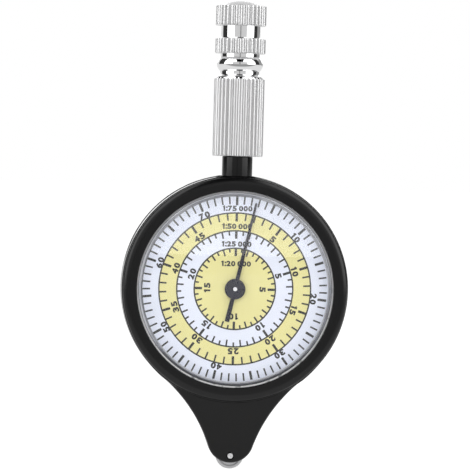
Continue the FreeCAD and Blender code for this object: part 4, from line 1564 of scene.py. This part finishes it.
    def build_cap(self) -> None:
        """Turns the cap with its neck and dome, knurls it and gives the dome the third finish."""
        neck, top = self.radius - self.neck_inset, cad_span("handle_cap", 2)[1]
        cap_low = self.ring_top + self.cap_neck_length
        cap_high = cap_low + self.cap_length
        dome_radius, rise = self.radius - self.dome_inset, top - cap_high
        arc = (dome_radius ** 2 + rise ** 2) / (2 * rise)
        half_angle = math.asin(dome_radius / arc)
        dome = [
            Corner(arc * math.sin(half_angle * share), top - arc * (1 - math.cos(half_angle * share)))
            for share in self.dome_shares
        ]
        corners = [
            Corner(0, self.ring_top - self.cap_spigot_length),
            Corner(self.cap_spigot_radius, self.ring_top - self.cap_spigot_length, self.end_round, 2),
            Corner(self.cap_spigot_radius, self.ring_top),
            *self.curve((neck + self.fillet, self.ring_top), (neck, self.ring_top + self.fillet), True),
            Corner(neck, cap_low),
            *self.knurled(cap_low, cap_high),
            *dome,
        ]
        mesh = self.pressed(corners, [(cap_low, cap_high)])
        for face in mesh.faces:
            if face.calc_center_median().z > cap_high:
                face.material_index = 2
        finishes = (HANDLE_SMOOTH, HANDLE_KNURLED, HANDLE_DOME)
        piece = Piece("handle_cap_turned", "case", "handle_aluminium", finishes, ("handle_cap",))
        publish(mesh, piece, UPRIGHT)


@dataclass
class Movement:
    """The CAD pieces that stay as they are, and get their finishes."""

    def build(self) -> None:
        """Dresses each CAD node that is still shown and whose material slot has a finish here."""
        slots = {part["node"]: part["material_slot"] for part in frame["record"]["subparts"]}
        for name, node in frame["nodes"].items():
            finish = CAD_FINISHES.get(slots[name])
            if node.hide_render or finish is None:
                continue
            node.data.materials.clear()
            node.data.materials.append(finish.material())
            LOG.info("%s: CAD piece in %s", name, finish.name)


@dataclass(frozen=True)
class TentStop:
    """How bright the tent is at an angle from the camera, in degrees, to its right if above 0."""

    angle: float
    level: float


TENT_WALL = (
    TentStop(-180.0, 0.35), TentStop(-133.0, 0.35), TentStop(-130.0, 0.015), TentStop(-88.0, 0.015),
    TentStop(-84.0, 1.0), TentStop(-41.0, 1.0), TentStop(-37.0, 0.3), TentStop(-2.8, 0.28),
    TentStop(-1.8, 0.05), TentStop(1.8, 0.05), TentStop(2.8, 0.28), TentStop(37.0, 0.3),
    TentStop(41.0, 1.0), TentStop(84.0, 1.0), TentStop(88.0, 0.015), TentStop(115.0, 0.015),
    TentStop(119.0, 0.14), TentStop(180.0, 0.14),
)
TENT_ROOF = (
    TentStop(-180.0, 0.35), TentStop(-133.0, 0.35), TentStop(-130.0, 0.015), TentStop(-88.0, 0.015),
    TentStop(-84.0, 1.0), TentStop(84.0, 1.0), TentStop(88.0, 0.015), TentStop(119.0, 0.015),
    TentStop(124.0, 0.35), TentStop(180.0, 0.35),
)
TENT_BACK = (TentStop(-180.0, 0.0), TentStop(150.0, 0.0), TentStop(156.0, 1.0), TentStop(180.0, 1.0))
TENT_HOLE = (TentStop(-180.0, 1.0), TentStop(168.6, 1.0), TentStop(170.2, 0.01), TentStop(180.0, 0.01))


@dataclass
class Studio:
    """The floor, the light and the camera, in metres."""

    floor_size: float = 8.0
    floor_tone: float = 0.4
    floor_glow: float = 0.9
    floor_gloss: float = 0.05
    floor_gloss_near: float = 0.6
    near_reach: float = 0.2
    tent_light: float = 0.5
    tent_gloss: float = 2.3
    roof_height: float = 0.4
    strip_width: float = 0.5
    strip_end: float = 0.2
    back_height: float = 0.05
    strip_slope: float = 20.0
    strip_end_slope: float = 10.0
    roof_slope: float = 8.0
    back_slope: float = 25.0
    lamp_place: tuple[float, float, float] = (-0.12, -0.9, 0.3)
    lamp_size: float = 0.6
    lamp_power: float = 2.3
    camera_azimuth: float = -3.4
    camera_elevation: float = 1.8
    camera_roll: float = 1.57
    camera_distance: float = 0.7
    view_height: float = 0.10568
    aim: tuple[float, float, float] = (-0.00006, 0.0, 0.05263)
    sensor: float = 36.0

    def build(self) -> None:
        """Makes everything that isn't the object."""
        self.build_floor()
        self.build_tent()
        self.build_lamp()
        self.build_camera()

    def build_floor(self) -> None:
        """A pale floor that shows white, keeps the object's shadow and mirrors dimly in front."""
        mesh = bmesh.new()
        bmesh.ops.create_grid(mesh, x_segments=2, y_segments=2, size=self.floor_size / 2)
        data = bpy.data.meshes.new("studio_floor")
        mesh.to_mesh(data)
        mesh.free()
        floor = add_object("studio_floor", data)
        sheet = Shading("floor_white")
        matt, glow = sheet.add("ShaderNodeBsdfDiffuse"), sheet.add("ShaderNodeEmission")
        matt.inputs["Color"].default_value = (*(self.floor_tone,) * 3, 1)
        seen = sheet.add("ShaderNodeLightPath").outputs
        either = sheet.maths("MAXIMUM", seen["Is Camera Ray"], seen["Is Transmission Ray"])
        straight = sheet.maths("MULTIPLY", either, self.floor_glow)
        fade = sheet.spread(
            sheet.parts(sheet.place)["Y"], self.floor_gloss, self.floor_gloss_near,
            start=-self.near_reach, end=-self.near_reach / 2,
        )
        mirrored = sheet.maths("MULTIPLY", seen["Is Glossy Ray"], fade)
        sheet.link(sheet.maths("ADD", straight, mirrored), glow.inputs["Strength"])
        both = sheet.add("ShaderNodeAddShader")
        sheet.link(matt.outputs[0], both.inputs[0])
        sheet.link(glow.outputs[0], both.inputs[1])
        sheet.link(both.outputs[0], sheet.output.inputs["Surface"])
        data.materials.append(sheet.material)

    @staticmethod
    def step(sheet: Sheet, value: bpy.types.NodeSocket, start: float,
             slope: float) -> bpy.types.NodeSocket:
        """Rises from 0 to 1 where a value passes a place.

        Args:
            sheet: the world's nodes.
            value: the value.
            start: where the rise starts.
            slope: how steep it is.

        Returns:
            The result, never outside 0 to 1.
        """
        rise = sheet.maths("MULTIPLY", sheet.maths("SUBTRACT", value, start), slope)
        return sheet.maths("MINIMUM", sheet.maths("MAXIMUM", rise, 0.0), 1.0)

    def build_tent(self) -> None:
        """A white light tent. Gloss sees bright sides, a darker front and gaps between."""
        world = bpy.data.worlds.new("studio_tent")
        bpy.context.scene.world = world
        sheet = Sheet(world, "ShaderNodeOutputWorld")
        turned_to_camera = sheet.add("ShaderNodeMapping")
        turned_to_camera.inputs["Rotation"].default_value[2] = -math.radians(self.camera_azimuth)
        place = sheet.add("ShaderNodeTexCoord").outputs["Generated"]
        sheet.link(place, turned_to_camera.inputs["Vector"])
        parts = sheet.parts(turned_to_camera.outputs[0])
        forward = sheet.maths("MULTIPLY", parts["Y"], -1.0)
        azimuth = sheet.maths("ARCTAN2", parts["X"], forward)
        cone = sheet.maths("ARCCOSINE", forward, 0.0)
        wall, roof, back, hole = (
            sheet.ramp(angle, [(math.radians(stop.angle), stop.level) for stop in stops])
            for angle, stops in (
                (azimuth, TENT_WALL), (azimuth, TENT_ROOF), (cone, TENT_BACK), (cone, TENT_HOLE),
            )
        )
        aside = sheet.maths("ABSOLUTE", parts["X"], 0.0)
        strip = sheet.maths(
            "MAXIMUM", self.step(sheet, aside, self.strip_width / 2, self.strip_slope),
            self.step(sheet, parts["Y"], self.strip_end, self.strip_end_slope),
        )
        above = self.step(sheet, parts["Z"], self.roof_height, self.roof_slope)
        level = sheet.blend(above, wall, sheet.maths("MULTIPLY", roof, strip))
        rise = self.step(sheet, parts["Z"], self.back_height, self.back_slope)
        tone = sheet.maths("MAXIMUM", level, sheet.maths("MULTIPLY", back, rise))
        tone = sheet.maths("MULTIPLY", tone, hole)
        matt, gloss, plain = (sheet.add("ShaderNodeBackground") for _ in range(3))
        matt.inputs["Strength"].default_value = self.tent_light
        gloss.inputs["Strength"].default_value = self.tent_gloss
        matt.inputs["Color"].default_value = plain.inputs["Color"].default_value = (1, 1, 1, 1)
        sheet.link(tone, gloss.inputs["Color"])
        seen = sheet.add("ShaderNodeLightPath").outputs
        reflected = sheet.mixed(seen["Is Glossy Ray"], matt, gloss)
        straight = sheet.maths("MAXIMUM", seen["Is Camera Ray"], seen["Is Transmission Ray"])
        shown = sheet.mixed(straight, reflected, plain)
        sheet.link(shown.outputs[0], sheet.output.inputs["Surface"])

    def build_lamp(self) -> None:
        """One large soft lamp beside the camera, which gloss doesn't see."""
        data = bpy.data.lights.new("key_softbox", "AREA")
        data.size = self.lamp_size
        data.energy = self.lamp_power
        lamp = add_object("key_softbox", data)
        lamp.visible_glossy = False
        lamp.location = self.lamp_place
        toward = Vector(self.aim) - Vector(self.lamp_place)
        lamp.rotation_euler = toward.to_track_quat("-Z", "Y").to_euler()

    def build_camera(self) -> None:
        """A long lens a little above and to the left, turned as the photographed frame is."""
        azimuth, elevation = math.radians(self.camera_azimuth), math.radians(self.camera_elevation)
        back = Vector((
            math.sin(azimuth) * math.cos(elevation), -math.cos(azimuth) * math.cos(elevation),
            math.sin(elevation),
        ))
        data = bpy.data.cameras.new("camera")
        data.sensor_width = self.sensor
        data.lens = self.sensor * self.camera_distance / self.view_height
        camera = add_object("camera", data)
        camera.location = Vector(self.aim) + back * self.camera_distance
        level = (-back).to_track_quat("-Z", "Y").to_matrix().to_4x4()
        roll = Matrix.Rotation(math.radians(self.camera_roll), 4, "Z")
        camera.rotation_euler = (level @ roll).to_euler()
        bpy.context.scene.camera = camera


def main() -> None:
    """Builds the instrument and its studio."""
    logging.basicConfig(level=logging.INFO, format="%(message)s")
    bpy.context.scene.view_settings.view_transform = "Standard"
    Studio().build()
    for side, scales in ((Side.FRONT, FRONT_SCALES), (Side.REAR, REAR_SCALES)):
        Case(side).build()
        Dial(side, scales).build()
        Hand(side).build()
    Wheel().build()
    Handle().build()
    Movement().build()


if __name__ == "__main__":
    main()
